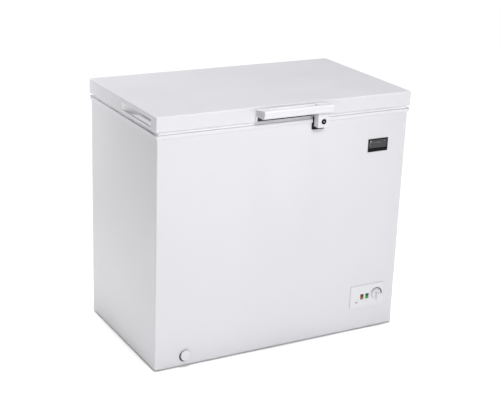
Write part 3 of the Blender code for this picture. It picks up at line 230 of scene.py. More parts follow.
PAINT = Finish("white_powder_coat", (0.552, 0.550, 0.574), 0.42, coat=0.15,
               relief=Relief(Grain.PEEL, 0.0022, 0.00004), tone=0.012, slot="white_painted_steel")
PLASTIC = Finish("white_moulded_plastic", (0.575, 0.573, 0.596), 0.36,
                 relief=Relief(Grain.MOULD, 0.0007, 0.000012), tone=0.012, slot="white_plastic")
# A lighter copy of the white plastic, as painted light: it brightens the shaded end-grip scoops and the plate
# behind the handle bar.
PAINTED_LIGHT_PLASTIC = Finish("painted_light_moulded_plastic", (0.72, 0.72, 0.745), 0.36,
                      relief=Relief(Grain.MOULD, 0.0007, 0.00002), tone=0.015, slot="white_plastic")
ALUMINIUM = Finish("stucco_aluminium", (0.78, 0.79, 0.80), 0.34, metallic=0.9,
                   relief=Relief(Grain.STUCCO, 0.0055, 0.0009), tone=0.04, slot="embossed_aluminium")
ZINC = Finish("galvanised_steel", (0.60, 0.61, 0.63), 0.42, metallic=0.9,
              relief=Relief(Grain.SPANGLE, 0.012, 0.0001), tone=0.12, slot="galvanised_steel")
COPPER = Finish("drawn_copper", (0.72, 0.36, 0.20), 0.33, metallic=1.0,
                relief=Relief(Grain.BRUSHED, 0.002, 0.00003), tone=0.18, slot="copper_tube")
BLACK_PLASTIC = Finish("black_moulding", (0.004, 0.004, 0.005), 0.5, specular=0.12,
                       relief=Relief(Grain.MOULD, 0.0008, 0.00002), tone=0.1, slot="black_plastic")
BLACK_PAINT = Finish("black_enamel", (0.014, 0.014, 0.016), 0.28, coat=0.3,
                     relief=Relief(Grain.PEEL, 0.003, 0.00006), tone=0.1, slot="black_paint")
# A pale gasket, made paler than the white paint as painted light that lifts the shaded gap under the lid.
SEAL_WITH_PAINTED_LIGHT = Finish("pale_seal_painted_light", (0.85, 0.85, 0.87), 0.62,
              relief=Relief(Grain.MOULD, 0.001, 0.00003), tone=0.05, slot="grey_rubber")
# Black rubber for the mounts and the drain seal; also the black of the painted shadow strip under the handle
# bar and of the drain cap's painted shadow crescent.
RUBBER_AND_PAINTED_SHADOW = Finish("black_rubber", (0.022, 0.022, 0.023), 0.75,
                relief=Relief(Grain.MOULD, 0.0012, 0.00005), tone=0.12, slot="black_rubber")
FOAM = Finish("rigid_foam", (0.83, 0.73, 0.46), 0.92,
              relief=Relief(Grain.FOAM, 0.002, 0.0006), tone=0.1, slot="insulation_foam")
WINDOW = Finish("dark_window", (0.002, 0.002, 0.003), 0.10, specular=0.05, tone=0.12, slot="dark_window")
BOARD = Finish("circuit_board", (0.02, 0.14, 0.06), 0.4, coat=0.3, tone=0.1, slot="circuit_board")
SEGMENT = Finish("display_segment", (0.32, 0.32, 0.30), 0.3, tone=0.05, slot="dark_window")
FLOOR = Finish("studio_white", (0.95, 0.95, 0.95), 0.9, tone=0.005)
LCD = Finish("display_glass", (0.046, 0.046, 0.051), 0.25, specular=0.2, tone=0.1, slot="dark_window")
# Dark grey for the printed scale, pointer and strokes, and for the painted shadow ring round the knob.
PRINT_AND_PAINTED_SHADOW = Finish("print_and_painted_shadow_grey", (0.020, 0.020, 0.024), 0.5, specular=0.1, tone=0.04, slot="black_plastic")
KEYWAY = Finish("bright_keyway", (0.72, 0.73, 0.74), 0.22, metallic=1.0, tone=0.05, slot="galvanised_steel")
ORANGE = Finish("orange_lens", (0.25, 0.078, 0.012), 0.25, coat=0.1, specular=0.3,
                relief=Relief(Grain.MOULD, 0.0015, 0.00005), tone=0.08, slot="orange_lens")
# Darker copy of the orange lens for its upper facet: painted shade.
ORANGE_PAINTED_SHADE = Finish("orange_lens_painted_shade", (0.075, 0.020, 0.003), 0.25, specular=0.2, tone=0.08,
                     slot="orange_lens")
GREEN = Finish("green_lens", (0.033, 0.25, 0.050), 0.25, coat=0.1, specular=0.3,
               relief=Relief(Grain.MOULD, 0.0015, 0.00005), tone=0.08, slot="green_lens")
# Darker copy of the green lens for its upper facet: painted shade.
GREEN_PAINTED_SHADE = Finish("green_lens_painted_shade", (0.008, 0.085, 0.018), 0.25, specular=0.2, tone=0.08,
                    slot="green_lens")
WIRE = Finish("coated_wire", (0.80, 0.80, 0.81), 0.35, coat=0.2,
              relief=Relief(Grain.PEEL, 0.002, 0.00004), tone=0.02, slot="coated_wire")


# ---------------------------------------------------------------- surfaces


def grid_faces(rows: int, columns: int, close_rows: bool = False, close_columns: bool = False) -> Array:
    """Quads of a grid whose point (i, j) has the number i * columns + j.

    Args:
        rows: Points along the first parameter.
        columns: Points along the second parameter.
        close_rows: Joins the last row to the first.
        close_columns: Joins the last column to the first.

    Returns:
        An array of four point numbers for each cell, in the grid's order.
    """
    i = np.arange(rows if close_rows else rows - 1)
    j = np.arange(columns if close_columns else columns - 1)
    a, b = np.meshgrid(i, j, indexing="ij")
    a, b = a.ravel(), b.ravel()
    a1, b1 = (a + 1) % rows, (b + 1) % columns
    return np.stack([a * columns + b, a1 * columns + b, a1 * columns + b1, a * columns + b1], axis=1)


def arc(centre: tuple[float, float], radius: float, start: float, end: float, steps: int) -> Array:
    """Points of an arc: centre + radius * (cos a, sin a), for angles in degrees from start to end.

    Args:
        centre: The arc's centre.
        radius: Its radius.
        start: First angle.
        end: Last angle.
        steps: Pieces that the arc is cut in.

    Returns:
        An array of steps + 1 points.
    """
    a = np.radians(np.linspace(start, end, steps + 1))
    return np.stack([centre[0] + radius * np.cos(a), centre[1] + radius * np.sin(a)], axis=1)


def round_rectangle(half_x: float, half_y: float, radius: float, steps: int = 8) -> Array:
    """A rectangle round the origin whose four corners are quarter circles, counter-clockwise from +X.

    Args:
        half_x: Half its width.
        half_y: Half its depth.
        radius: Its corners' radius.
        steps: Pieces that each quarter is cut in.

    Returns:
        An array of 4 * (steps + 1) points.
    """
    radius = max(TINY, min(radius, half_x, half_y))
    corners = ((1, 1, 0), (-1, 1, 90), (-1, -1, 180), (1, -1, 270))
    return np.concatenate([
        arc((sx * (half_x - radius), sy * (half_y - radius)), radius, start, start + 90, steps)
        for sx, sy, start in corners
    ])


class Piece:
    """A mesh that is being made from numpy points, and is finished into one object at the origin."""

    def __init__(self, name: str) -> None:
        """Starts an empty piece.

        Args:
            name: The name of the object that it becomes.
        """
        self.name = name
        self.points: list[Array] = []
        self.faces: list[list[int]] = []
        self.zones: list[int] = []
        self.count = 0

    def add(self, points: Array, faces: Array | list, zone: int = 0) -> "Piece":
        """Adds points and faces.

        Args:
            points: The points, in an array of any shape that ends in 3.
            faces: The faces, as numbers of these points.
            zone: The number of the finish that the faces take.

        Returns:
            The piece itself.
        """
        points = np.asarray(points, float).reshape(-1, 3)
        self.points.append(points)
        for face in np.asarray(faces, dtype=object) if isinstance(faces, list) else faces:
            self.faces.append([int(v) + self.count for v in face])
            self.zones.append(zone)
        self.count += len(points)
        return self

    def loft(self, rings: Array, caps: bool = True, closed: bool = False, zone: int = 0) -> "Piece":
        """Adds a skin over rings.

        Args:
            rings: An array (rings, points, 3).
            caps: Whether both ends are closed by a face.
            closed: Whether the last ring joins the first, as in a hoop.
            zone: The number of its finish.

        Returns:
            The piece itself.
        """
        rings = np.asarray(rings, float)
        rows, columns = rings.shape[:2]
        faces = grid_faces(rows, columns, close_rows=closed, close_columns=True)
        self.add(rings, faces, zone)
        if caps and not closed:
            start = self.count - rows * columns
            for ring in (range(columns), range((rows - 1) * columns, rows * columns)):
                self.faces.append([start + v for v in ring])
                self.zones.append(zone)
        return self

    def sheet(self, grid: Array, holes: Array | None = None, zone: int = 0) -> "Piece":
        """Adds an open sheet.

        Args:
            grid: An array (rows, columns, 3).
            holes: True for each cell that is left out.
            zone: The number of its finish.

        Returns:
            The piece itself.
        """
        rows, columns = grid.shape[:2]
        faces = grid_faces(rows, columns)
        if holes is not None:
            faces = faces[~holes.ravel()]
        return self.add(grid, faces, zone)

    def finish(self, body: str, *finishes: Finish, replaces: tuple[str, ...] = (), wall: float = 0.0,
               bevel: float = 0.0, sharp: float = 40.0, towards: Vector | None = None) -> bpy.types.Object:
        """Makes the object: doubles merged, faces turned outwards, shaded smooth up to the sharp angle.

        Args:
            body: The CAD body that it rides on.
            finishes: The finish of each zone.
            replaces: CAD nodes that it stands for.
            wall: Thickness given to an open sheet, inwards.
            bevel: Radius put on its sharp edges.
            sharp: Edges over this angle, in degrees, stay sharp.
            towards: For an open pocket, a point that its faces look at.

        Returns:
            The finished object.
        """
        mesh = bpy.data.meshes.new(self.name)
        mesh.from_pydata(np.concatenate(self.points), [], self.faces)
        mesh.polygons.foreach_set("material_index", np.array(self.zones, np.int32))
        bm = bmesh.new()
        bm.from_mesh(mesh)
        bmesh.ops.remove_doubles(bm, verts=bm.verts, dist=MERGE)
        bmesh.ops.recalc_face_normals(bm, faces=bm.faces)
        if towards is not None:
            facing = sum(f.calc_area() * f.normal.dot(towards - f.calc_center_median()) for f in bm.faces)
            if facing < 0:
                bmesh.ops.reverse_faces(bm, faces=bm.faces)
        bm.to_mesh(mesh)
        bm.free()
        return dress(self.name, mesh, body, finishes, replaces, wall, bevel, sharp)


def dress(name: str, mesh: bpy.types.Mesh, body: str, finishes: tuple[Finish, ...],
          replaces: tuple[str, ...], wall: float, bevel: float, sharp: float) -> bpy.types.Object:
    """Turns a mesh into a piece that rides on a body, with its finishes and modifiers.

    Args:
        name: The piece's name.
        mesh: Its mesh, in place.
        body: The CAD body that it rides on.
        finishes: The finish of each zone.
        replaces: CAD nodes that it stands for.
        wall: Thickness given to an open sheet.
        bevel: Radius put on its sharp edges.
        sharp: Edges over this angle, in degrees, stay sharp.

    Returns:
        The finished object.
    """
    mesh.shade_smooth()
    mesh.set_sharp_from_angle(angle=math.radians(sharp))
    obj = bpy.data.objects.new(name, mesh)
    bpy.context.scene.collection.objects.link(obj)
    for one in finishes:
        mesh.materials.append(one.material())
    if wall:
        solidify = obj.modifiers.new("Wall", "SOLIDIFY")
        solidify.thickness = wall
        solidify.offset = -1
        solidify.use_even_offset = True
    if bevel:
        edge = obj.modifiers.new("Edges", "BEVEL")
        edge.width = bevel
        edge.segments = 3
        edge.limit_method = "ANGLE"
        edge.angle_limit = math.radians(sharp)
        edge.harden_normals = True
    else:
        even = obj.modifiers.new("Normals", "WEIGHTED_NORMAL")
        even.keep_sharp = True
        even.weight = 80
    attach(obj, body)
    if replaces:
        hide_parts(*replaces)
    LOG.info("%s: %d faces on %s", name, len(mesh.polygons), body)
    return obj


def refined(node: str, finish: Finish, name: str, bevel: float = 0.0004,
            sharp: float = 32.0) -> bpy.types.Object:
    """A finer copy of a CAD node: triangles merged into flat faces, shaded smooth, with rounded edges.

    Args:
        node: The CAD node that it copies and stands for.
        finish: Its finish.
        name: The piece's name.
        bevel: Radius on its edges.
        sharp: Edges over this angle are rounded, and those under it are shaded smooth.

    Returns:
        The finished object.
    """
    source = frame["nodes"][node]
    mesh = source.data.copy()
    mesh.materials.clear()
    bm = bmesh.new()
    bm.from_mesh(mesh)
    bmesh.ops.remove_doubles(bm, verts=bm.verts, dist=CAD_MERGE)
    bmesh.ops.dissolve_limit(bm, angle_limit=math.radians(FLAT_ANGLE), verts=bm.verts, edges=bm.edges)
    bmesh.ops.recalc_face_normals(bm, faces=bm.faces)
    bm.to_mesh(mesh)
    bm.free()
    return dress(name, mesh, source["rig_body"], (finish,), (node,), 0.0, bevel, sharp)


def turned_rings(profile: Profile | Array, axis: str, place: Vector, segments: int = 64) -> Array:
    """Rings of a turned shape: for each (radius, height), place + radius * (cos a, sin a) across the axis.

    Args:
        profile: Pairs of radius and height.
        axis: X, Y or Z for the direction of growing height, or -Y for a piece on the front wall.
        place: Where height 0 lies.
        segments: Points in each ring.

    Returns:
        An array (rings, points, 3).
    """
    profile = np.asarray(profile, float)
    a = 2 * np.pi * np.arange(segments) / segments
    across = np.maximum(profile[:, :1], TINY)
    u, v, h = across * np.cos(a), across * np.sin(a), np.repeat(profile[:, 1:], segments, axis=1)
    order = {"X": (h, u, v), "Y": (v, h, u), "-Y": (u, -h, v), "Z": (u, v, h)}[axis]
    return np.stack(order, axis=2) + np.array(place)


def pipe_rings(route: Array, radius: float, sides: int = 16) -> Array:
    """Rings square to a route: each turns with the route's heading and keeps its own side direction.

    Args:
        route: The centreline's points.
        radius: The pipe's radius.
        sides: Points in each ring.

    Returns:
        An array (rings, points, 3).
    """
    route = np.asarray(route, float)
    heading = np.gradient(route, axis=0)
    heading /= np.linalg.norm(heading, axis=1, keepdims=True)
    side = np.zeros_like(route)
    now = np.cross(heading[0], ASIDE)
    for i, d in enumerate(heading):
        now = now - d * np.dot(now, d)
        now /= np.linalg.norm(now)
        side[i] = now
    other = np.cross(heading, side)
    a = 2 * np.pi * np.arange(sides) / sides
    round_it = side[:, None] * np.cos(a)[:, None] + other[:, None] * np.sin(a)[:, None]
    return route[:, None] + radius * round_it


def smooth_route(points: list[tuple[float, float, float]], per_span: int = 8) -> Array:
    """A Catmull-Rom curve: between b and c it is (2b + (c-a)t + (2a-5b+4c-d)t^2 + (3b-3c+d-a)t^3) / 2.

    Args:
        points: The points that it passes.
        per_span: Steps between two of them.

    Returns:
        An array of the curve's points.
    """
    p = np.asarray(points, float)
    p = np.concatenate([[2 * p[0] - p[1]], p, [2 * p[-1] - p[-2]]])
    t = np.linspace(0, 1, per_span, endpoint=False)[:, None]
    spans = []
    for k in range(1, len(p) - 2):
        a, b, c, d = p[k - 1:k + 3]
        square, cube = 2 * a - 5 * b + 4 * c - d, 3 * b - 3 * c + d - a
        spans.append(0.5 * (2 * b + (c - a) * t + square * t**2 + cube * t**3))
    return np.concatenate([*spans, p[-2:-1]])


def block_rings(low: Vector, high: Vector, axis: str, corner: float, edge: float, steps: int = 6,
                flare: float = 0.0) -> Array:
    """Rings of a block with round corners along an axis and rounded edges at both its ends.

    Each ring is a round rectangle, drawn in by the edge's quarter circle where it nears an end.

    Args:
        low: Lowest corner.
        high: Highest corner.
        axis: The direction that the rings follow.
        corner: Radius of the four edges along the axis.
        edge: Radius of the edges round its two ends.
        steps: Pieces in each quarter circle.
        flare: How much wider the block is at its low end.

    Returns:
        An array (rings, points, 3).
    """
    along = "XYZ".index(axis)
    others = [k for k in range(3) if k != along]
    centre = [(low[k] + high[k]) / 2 for k in others]
    half = [(high[k] - low[k]) / 2 for k in others]
    a = np.radians(np.linspace(0, 90, steps + 1))
    drawn_in, from_end = edge * (1 - np.sin(a)), edge * (1 - np.cos(a))
    inset = np.concatenate([drawn_in, drawn_in[::-1]])
    height = np.concatenate([low[along] + from_end, (high[along] - from_end)[::-1]])
    rings = []
    for d, h in zip(inset, height):
        grow = flare * (high[along] - h) / (high[along] - low[along])
        left_over = corner - min(d, corner * MOST_OF_CORNER)
        ring = round_rectangle(half[0] - d + grow, half[1] - d + grow, left_over, steps)
        points = np.zeros((len(ring), 3))
        points[:, others[0]] = centre[0] + ring[:, 0]
        points[:, others[1]] = centre[1] + ring[:, 1]
        points[:, along] = h
        rings.append(points)
    return np.array(rings)


def smoothstep(x: Array) -> Array:
    """0 up to x = 0, 1 from x = 1, and 3x^2 - 2x^3 between."""
    x = np.clip(x, 0, 1)
    return x * x * (3 - 2 * x)


def rim_rings(profile: list[tuple[float, float, float]] | Array, half: tuple[float, float], centre_y: float,
              steps: int = 10, marks: tuple[float, ...] = ()) -> Array:
    """Rings round the cabinet: for each (inset, height, radius), a round rectangle that much inside.

    Args:
        profile: Inset from the outline, height and corner radius of each ring.
        half: The outline's half width and half depth.
        centre_y: Where the outline's middle lies.
        steps: Pieces in each corner.
        marks: Heights along Y where each side wall gets a column of points.

    Returns:
        An array (rings, points, 3).
    """
    rings = []
    for inset, height, radius in np.asarray(profile, float):
        hx, hy = half[0] - inset, half[1] - inset
        ring = round_rectangle(hx, hy, radius, steps)
        quarter = steps + 1
        left = np.array([(-hx, y - centre_y) for y in sorted(marks, reverse=True)]).reshape(-1, 2)
        right = np.array([(hx, y - centre_y) for y in sorted(marks)]).reshape(-1, 2)
        ring = np.concatenate([ring[:2 * quarter], left, ring[2 * quarter:], right])
        rings.append(np.column_stack([ring[:, 0], ring[:, 1] + centre_y, np.full(len(ring), height)]))
    return np.array(rings)


def fillet(low: float, high: float, radius: float, steps: int = 5) -> Profile:
    """A wall's section with quarter circles at its bottom and top edges.

    Args:
        low: Its lower edge.
        high: Its upper edge.
        radius: The quarter circles' radius.
        steps: Pieces in each quarter circle.

    Returns:
        Inset and height of each point, from the bottom up.
    """
    bottom = [(radius * (1 - math.sin(a)), low + radius * (1 - math.cos(a)))
              for a in np.linspace(0, math.pi / 2, steps + 1)]
    return bottom + upper_edge(high, radius, steps)


def upper_edge(high: float, radius: float, steps: int) -> Profile:
    """Inset and height of a quarter circle that ends a wall at its top."""
    return [(radius * (1 - math.cos(a)), high - radius * (1 - math.sin(a)))
            for a in np.linspace(0, math.pi / 2, steps + 1)]


def middle(node: str) -> Vector:
    """The middle of a CAD node's box."""
    low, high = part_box(node)
    return (low + high) / 2


def half_size(node: str) -> tuple[float, float]:
    """Half of a CAD node's width and depth."""
    low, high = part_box(node)
    return (high.x - low.x) / 2, (high.y - low.y) / 2


# ---------------------------------------------------------------- cabinet


@dataclass
class Cabinet:
    """The painted wrap, its back, base, feet and the moulded collar round the opening."""

    feet: int = 4
    tread: float = 0.0014
    tread_sides: int = 40
    collar_edge: float = 0.0022
    collar_break: float = 0.001
    ledge_width: float = 0.012
    ledge_depth: float = 0.005
    wall_width: float = 0.066
    outer_radius: float = 0.008
    inner_radius: float = 0.016

    def build(self) -> None:
        """Makes every piece of the sub-assembly."""
        refined("outer_wrap", PAINT, "cabinet_wrap", bevel=0.0005)
        refined("back_panel", PAINT, "cabinet_back", bevel=0.0003)
        refined("base_pan", ZINC, "cabinet_base", bevel=0.0004)
        self.collar()
        for k in range(self.feet):
            self.foot(f"foot_{k + 1}")
        for node, finish in (("foam_body", FOAM), ("condenser_coil", ZINC)):
            paint_node(node, finish)

    def collar(self) -> None:
        """The collar: a band round the walls with rounded edges and a ledge that the basket hangs on."""
        low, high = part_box("collar")
        half = half_size("collar")
        middle_y = middle("collar").y
        reach, ledge = self.wall_width, self.wall_width - self.ledge_width
        outside = [(d, z, self.outer_radius) for d, z in fillet(low.z, high.z, self.collar_edge)]
        shelf = high.z - self.ledge_depth
        soft = self.collar_break
        step = [(ledge - soft, high.z), (ledge, high.z - soft), (ledge, shelf), (reach - soft, shelf),
                (reach, shelf - soft), (reach, low.z)]
        inside = [(d, z, self.inner_radius) for d, z in step]
        piece = Piece("collar_frame").loft(rim_rings(outside + inside, half, middle_y), closed=True)
        piece.finish("cabinet", PLASTIC, replaces=("collar",), sharp=50)

    def foot(self, node: str) -> None:
        """A round levelling foot with a rounded tread.

        Args:
            node: The CAD foot that it stands for.
        """
        low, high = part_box(node)
        radius, height, tread = (high.x - low.x) / 2, high.z - low.z, self.tread
        profile = [(0, 0), (radius - tread, 0), *[(radius - tread + x, z) for x, z in
                   arc((0, tread), tread, -90, 0, 4)], (radius, height), (0, height)]
        place = Vector((middle(node).x, middle(node).y, low.z))
        rings = turned_rings(profile, "Z", place, self.tread_sides)
        Piece(f"{node}_tread").loft(rings).finish("cabinet", BLACK_PLASTIC, replaces=(node,))


def paint_node(node: str, finish: Finish) -> None:
    """Gives a CAD node that stays shown its finish.

    Args:
        node: The CAD node.
        finish: Its finish.
    """
    mesh = frame["nodes"][node].data
    mesh.materials.clear()
    mesh.materials.append(finish.material())


# ---------------------------------------------------------------- lid


@dataclass
class Lid:
    """The painted lid, the tray that closes it, its seal, and the two end grips."""

    edge: float = 0.0028
    edge_steps: int = 6
    corner: float = 0.0042
    top_inset: float = 0.02
    top_corner: float = 0.004
    sheet: float = 0.0012
    insert_wall: float = 0.002
    on_face: float = 1e-4
    grip_flush: float = 0.0001
    grip_stations: int = 61
    grip_wall: float = 0.0012
    grip_step: float = 0.0022
    grip_depth: float = 0.0195
    scoop_start: float = 0.0004
    scoop_length: float = 0.110
    shoulder: float = 0.0044
    scoop_soft: float = 0.0012
    lip_low: float = 0.0012
    lip_high: float = 0.0168
    lip_from: float = 0.052
    lip_to: float = 0.150
    lip_base: float = 0.0004
    first_step: float = 0.15
    soft_share: float = 0.25
    seal_width: float = 0.022
    seal_corner: float = 0.008
    seal_taper: float = 0.15

    def build(self) -> None:
        """Makes every piece of the sub-assembly."""
        self.shell()
        for side in ("left", "right"):
            self.grip(side)
        self.seal()
        refined("lid_liner", PLASTIC, "lid_tray", bevel=0.0015)
        paint_node("lid_foam", FOAM)

    def opening(self) -> tuple[float, float, float, float]:
        """Finds the end grips' openings, inside the insert's walls.

        Returns:
            Their front, rear, bottom and top.
        """
        low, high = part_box("recess_left")
        wall = self.insert_wall
        return low.y + wall, high.y - wall, low.z + wall, high.z - wall

    def shell(self) -> None:
        """The pan: rings up the wall and over the edge to the top, with an opening in each end wall."""
        low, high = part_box("lid_shell")
        half = half_size("lid_shell")
        middle_y = middle("lid_shell").y
        front, rear, bottom, top = self.opening()
        wall = [(0.0, low.z), (0.0, bottom), (0.0, top)]
        edge = upper_edge(high.z, self.edge, self.edge_steps)
        profile = [(d, z, self.corner) for d, z in wall + edge]
        profile += [(self.edge + self.top_inset, high.z, self.top_corner)]
        rings = rim_rings(profile, half, middle_y, marks=(front, rear))
        columns = rings.shape[1]
        faces = grid_faces(rings.shape[0], columns, close_columns=True)
        x, y, z = rings.reshape(-1, 3)[faces].mean(axis=1).T
        cut = (np.abs(x) > half[0] - self.on_face) & (y > front) & (y < rear) & (z > bottom) & (z < top)
        piece = Piece("lid_pan").add(rings, faces[~cut])
        piece.faces.append(list(range((rings.shape[0] - 1) * columns, rings.shape[0] * columns)))
        piece.zones.append(0)
        piece.finish("lid", PAINT, replaces=("lid_shell",), wall=self.sheet, sharp=50)

    def grip(self, side: str) -> None:
        """An end grip: a scoop that deepens towards the front, over a lower lip that rises there in an S.

        At each place along the opening the section is the step behind the face, the lip up to the height
        bottom + lip_low + (lip_high - lip_low) * smoothstep, the ledge, the back wall and the ceiling.

        Args:
            side: left or right.
        """
        sign = -1 if side == "left" else 1
        face = sign * half_size("lid_shell")[0]
        front, rear, bottom, top = self.opening()
        y = np.linspace(rear, front, self.grip_stations)
        rise = smoothstep((rear - y - self.lip_from) / (self.lip_to - self.lip_from))
        lip = bottom + self.lip_low + (self.lip_high - self.lip_low) * rise
        low, high = np.full_like(y, bottom), np.full_like(y, top)
        turn = np.radians(np.linspace(0, 90, 9))
        shoulder = np.minimum(self.shoulder, lip - bottom - self.lip_base)
        deepening = smoothstep((rear - y) / self.scoop_length)
        depth = self.scoop_start + (self.grip_depth - self.scoop_start) * deepening
        growth = smoothstep((rear - y) / self.lip_from)
        step = self.grip_step * (self.first_step + (1 - self.first_step) * growth)
        soft = np.minimum(self.scoop_soft, self.soft_share * depth)
        section = [(self.grip_flush, low), (step, low)]
        section += [(step + shoulder * (1 - math.cos(a)), lip - shoulder * (1 - math.sin(a))) for a in turn]
        section += [(depth - soft, lip), (depth, lip + soft), (depth, high - soft), (depth - soft, high),
                    (self.grip_flush, high)]
        grid = np.stack([np.column_stack([face - sign * (d + 0 * y), y, np.clip(z, bottom, top)])
                         for d, z in section], axis=1)
        piece = Piece(f"end_grip_{side}").sheet(grid)
        columns = grid.shape[1]
        for start in (0, (len(y) - 1) * columns):
            piece.faces.append([start + k for k in range(columns)])
            piece.zones.append(0)
        outside = Vector((face + sign * 0.5, (front + rear) / 2, (bottom + top) / 2))
        # Painted light: the scoop takes the lighter plastic copy so that its shaded hollow reads bright.
        piece.finish("lid", PAINTED_LIGHT_PLASTIC, replaces=(f"recess_{side}",), wall=self.grip_wall, sharp=38,
                     towards=outside)

    def seal(self) -> None:
        """The magnetic seal: a ring with a hollow bead below, a bellows fold and a flat mounting flange."""
        low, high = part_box("lid_gasket")
        half = half_size("lid_gasket")
        width, height = self.seal_width, high.z - low.z
        shape = [(0.000, 0.00), (0.000, 0.22), (0.0015, 0.34), (0.0035, 0.40), (0.0035, 0.52), (0.0012, 0.60),
                 (0.0008, 0.72), (0.0030, 0.80), (0.0030, 1.00), (0.019, 1.00), (0.019, 0.80), (0.0212, 0.72),
                 (0.0208, 0.60), (0.0185, 0.52), (0.0185, 0.40), (0.0205, 0.34), (width, 0.22), (width, 0.00)]
        profile = [(d, low.z + height * share, self.seal_corner - self.seal_taper * d) for d, share in shape]
        rings = rim_rings(profile, half, middle("lid_gasket").y)
        Piece("lid_seal").loft(rings, closed=True).finish("lid", SEAL_WITH_PAINTED_LIGHT, replaces=("lid_gasket",), sharp=60)


# ---------------------------------------------------------------- handle


@dataclass
class Handle:
    """The front grip: a back plate and a round-nosed bar on two mounts, in one moulding.

    The section is given as distances in front of the lid's face and heights over the lid's lower edge.
    """

    nose: tuple[tuple[float, float], ...] = (
        (0.0440, 0.0200), (0.0478, 0.0208), (0.0515, 0.0238), (0.0545, 0.0282), (0.0566, 0.0330),
        (0.0575, 0.0372), (0.0575, 0.0412), (0.0568, 0.0446), (0.0550, 0.0470), (0.0524, 0.0482),
        (0.0486, 0.0485))
    mount: float = 0.0375
    flare: float = 0.008
    bar: float = 0.0225
    end_round: float = 0.0014
    plate_gap: float = 0.0043
    # Inset, rise, low and high edges, gap to the lock and sink of the painted shadow strip under the bar.
    shadow_inset: float = 0.0042
    shadow_proud: float = 0.0005
    shadow_low: float = 0.0014
    shadow_high: float = 0.0170
    shadow_gap: float = 0.0006
    shadow_sunk: float = 0.0004
    back_top: tuple[float, float] = (0.0015, 0.0412)
    soft: float = 0.0022
    end_steps: int = 5
    between: int = 12

    def build(self) -> None:
        """Makes every piece of the sub-assembly."""
        self.grip()
        self.plate()

    def plate(self) -> None:
        """The flat back plate with softened edges in the lighter plastic copy, as painted light, and a thin
        black strip on it under the bar, as painted shadow.
        """
        low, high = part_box("handle_base")
        rings = block_rings(low, high, "Y", 0.0016, 0.0009, 5)
        # Painted light: the plate takes the lighter plastic copy so that its face, shaded by the bar, reads
        # bright.
        Piece("handle_plate").loft(rings).finish("lid", PAINTED_LIGHT_PLASTIC, replaces=("handle_base",))
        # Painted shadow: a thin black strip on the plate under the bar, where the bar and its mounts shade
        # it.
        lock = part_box("lock_housing")[0]
        shadow_low = Vector((low.x + self.shadow_inset, low.y - self.shadow_proud, low.z + self.shadow_low))
        shadow_high = Vector((lock.x - self.shadow_gap, low.y + self.shadow_sunk, low.z + self.shadow_high))
        rings = block_rings(shadow_low, shadow_high, "Y", 0.0010, 0.0002, 4)
        Piece("handle_painted_shadow").loft(rings).finish("lid", RUBBER_AND_PAINTED_SHADOW)

    def section(self, back: float, inset: float) -> Array:
        """The bar's outline at one station: underside, nose, sloping top and a back wall with round corners.

        Args:
            back: Distance of its back wall from the lid's face.
            inset: How far the outline is drawn in, at the ends.

        Returns:
            An array of distances and heights.
        """
        nose = smooth_route([(0, d, h) for d, h in self.nose], 4)[:, 1:]
        base, crest = nose[0], nose[-1]
        slope = (crest[1] - self.back_top[1]) / (crest[0] - self.back_top[0])
        soft = self.soft
        along = np.linspace(0, 1, 8)[:, None]
        top_back = np.array([back, crest[1] - slope * (crest[0] - back)])
        low_back = np.array([back, base[1]])
        top = crest + (top_back + (soft, 0) - crest) * along[1:-1]
        corner_top = arc((back + soft, top_back[1] - soft), soft, 90, 180, 4)
        corner_low = arc((back + soft, low_back[1] + soft), soft, 180, 270, 4)
        under = (low_back + (soft, 0)) + (base - low_back - (soft, 0)) * along[1:-1]
        loop = np.concatenate([nose, top, corner_top, corner_low, under])
        if inset:
            ahead, behind = np.roll(loop, -1, axis=0), np.roll(loop, 1, axis=0)
            way = ahead - behind
            way /= np.maximum(np.linalg.norm(way, axis=1, keepdims=True), 1e-9)
            loop = loop + inset * np.column_stack([-way[:, 1], way[:, 0]])
        return loop

    def grip(self) -> None:
        """Stations along X. The back wall is on the plate at the mounts and far out between them."""
        low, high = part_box("handle_grip")
        half = (high.x - low.x) / 2
        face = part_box("lid_shell")[0].y
        bottom = low.z - self.nose[0][1]
        inner, reach = half - self.mount, max(d for d, _ in self.nose)
        turn = np.radians(np.linspace(0, 90, self.end_steps + 1))
        ends, insets = self.end_round * (1 - np.cos(turn)), self.end_round * (1 - np.sin(turn))
        right = np.concatenate([half - ends, np.linspace(half - 0.004, inner + 0.002, 6), [inner + 0.0006],
                                np.linspace(inner, inner - self.flare, 14), [inner - self.flare - 0.0008]])
        inset = np.concatenate([insets, np.zeros(len(right) - len(insets))])
        order = np.argsort(-right, kind="stable")
        right, inset = right[order], inset[order]
        x = np.concatenate([right, np.linspace(right[-1], -right[-1], self.between + 2)[1:-1], -right[::-1]])
        inset = np.concatenate([inset, np.zeros(self.between), inset[::-1]])
        share = smoothstep((inner - np.abs(x)) / self.flare)
        back = self.plate_gap + (reach - self.bar - self.plate_gap) * share
        rings = []
        for at, d, wall in zip(x, inset, back):
            loop = self.section(wall, d)
            rings.append(np.column_stack([np.full(len(loop), at), face - loop[:, 0], bottom + loop[:, 1]]))
        piece = Piece("handle_bar").loft(np.array(rings))
        piece.finish("lid", PLASTIC, replaces=("handle_grip",), sharp=48)


# ---------------------------------------------------------------- lock


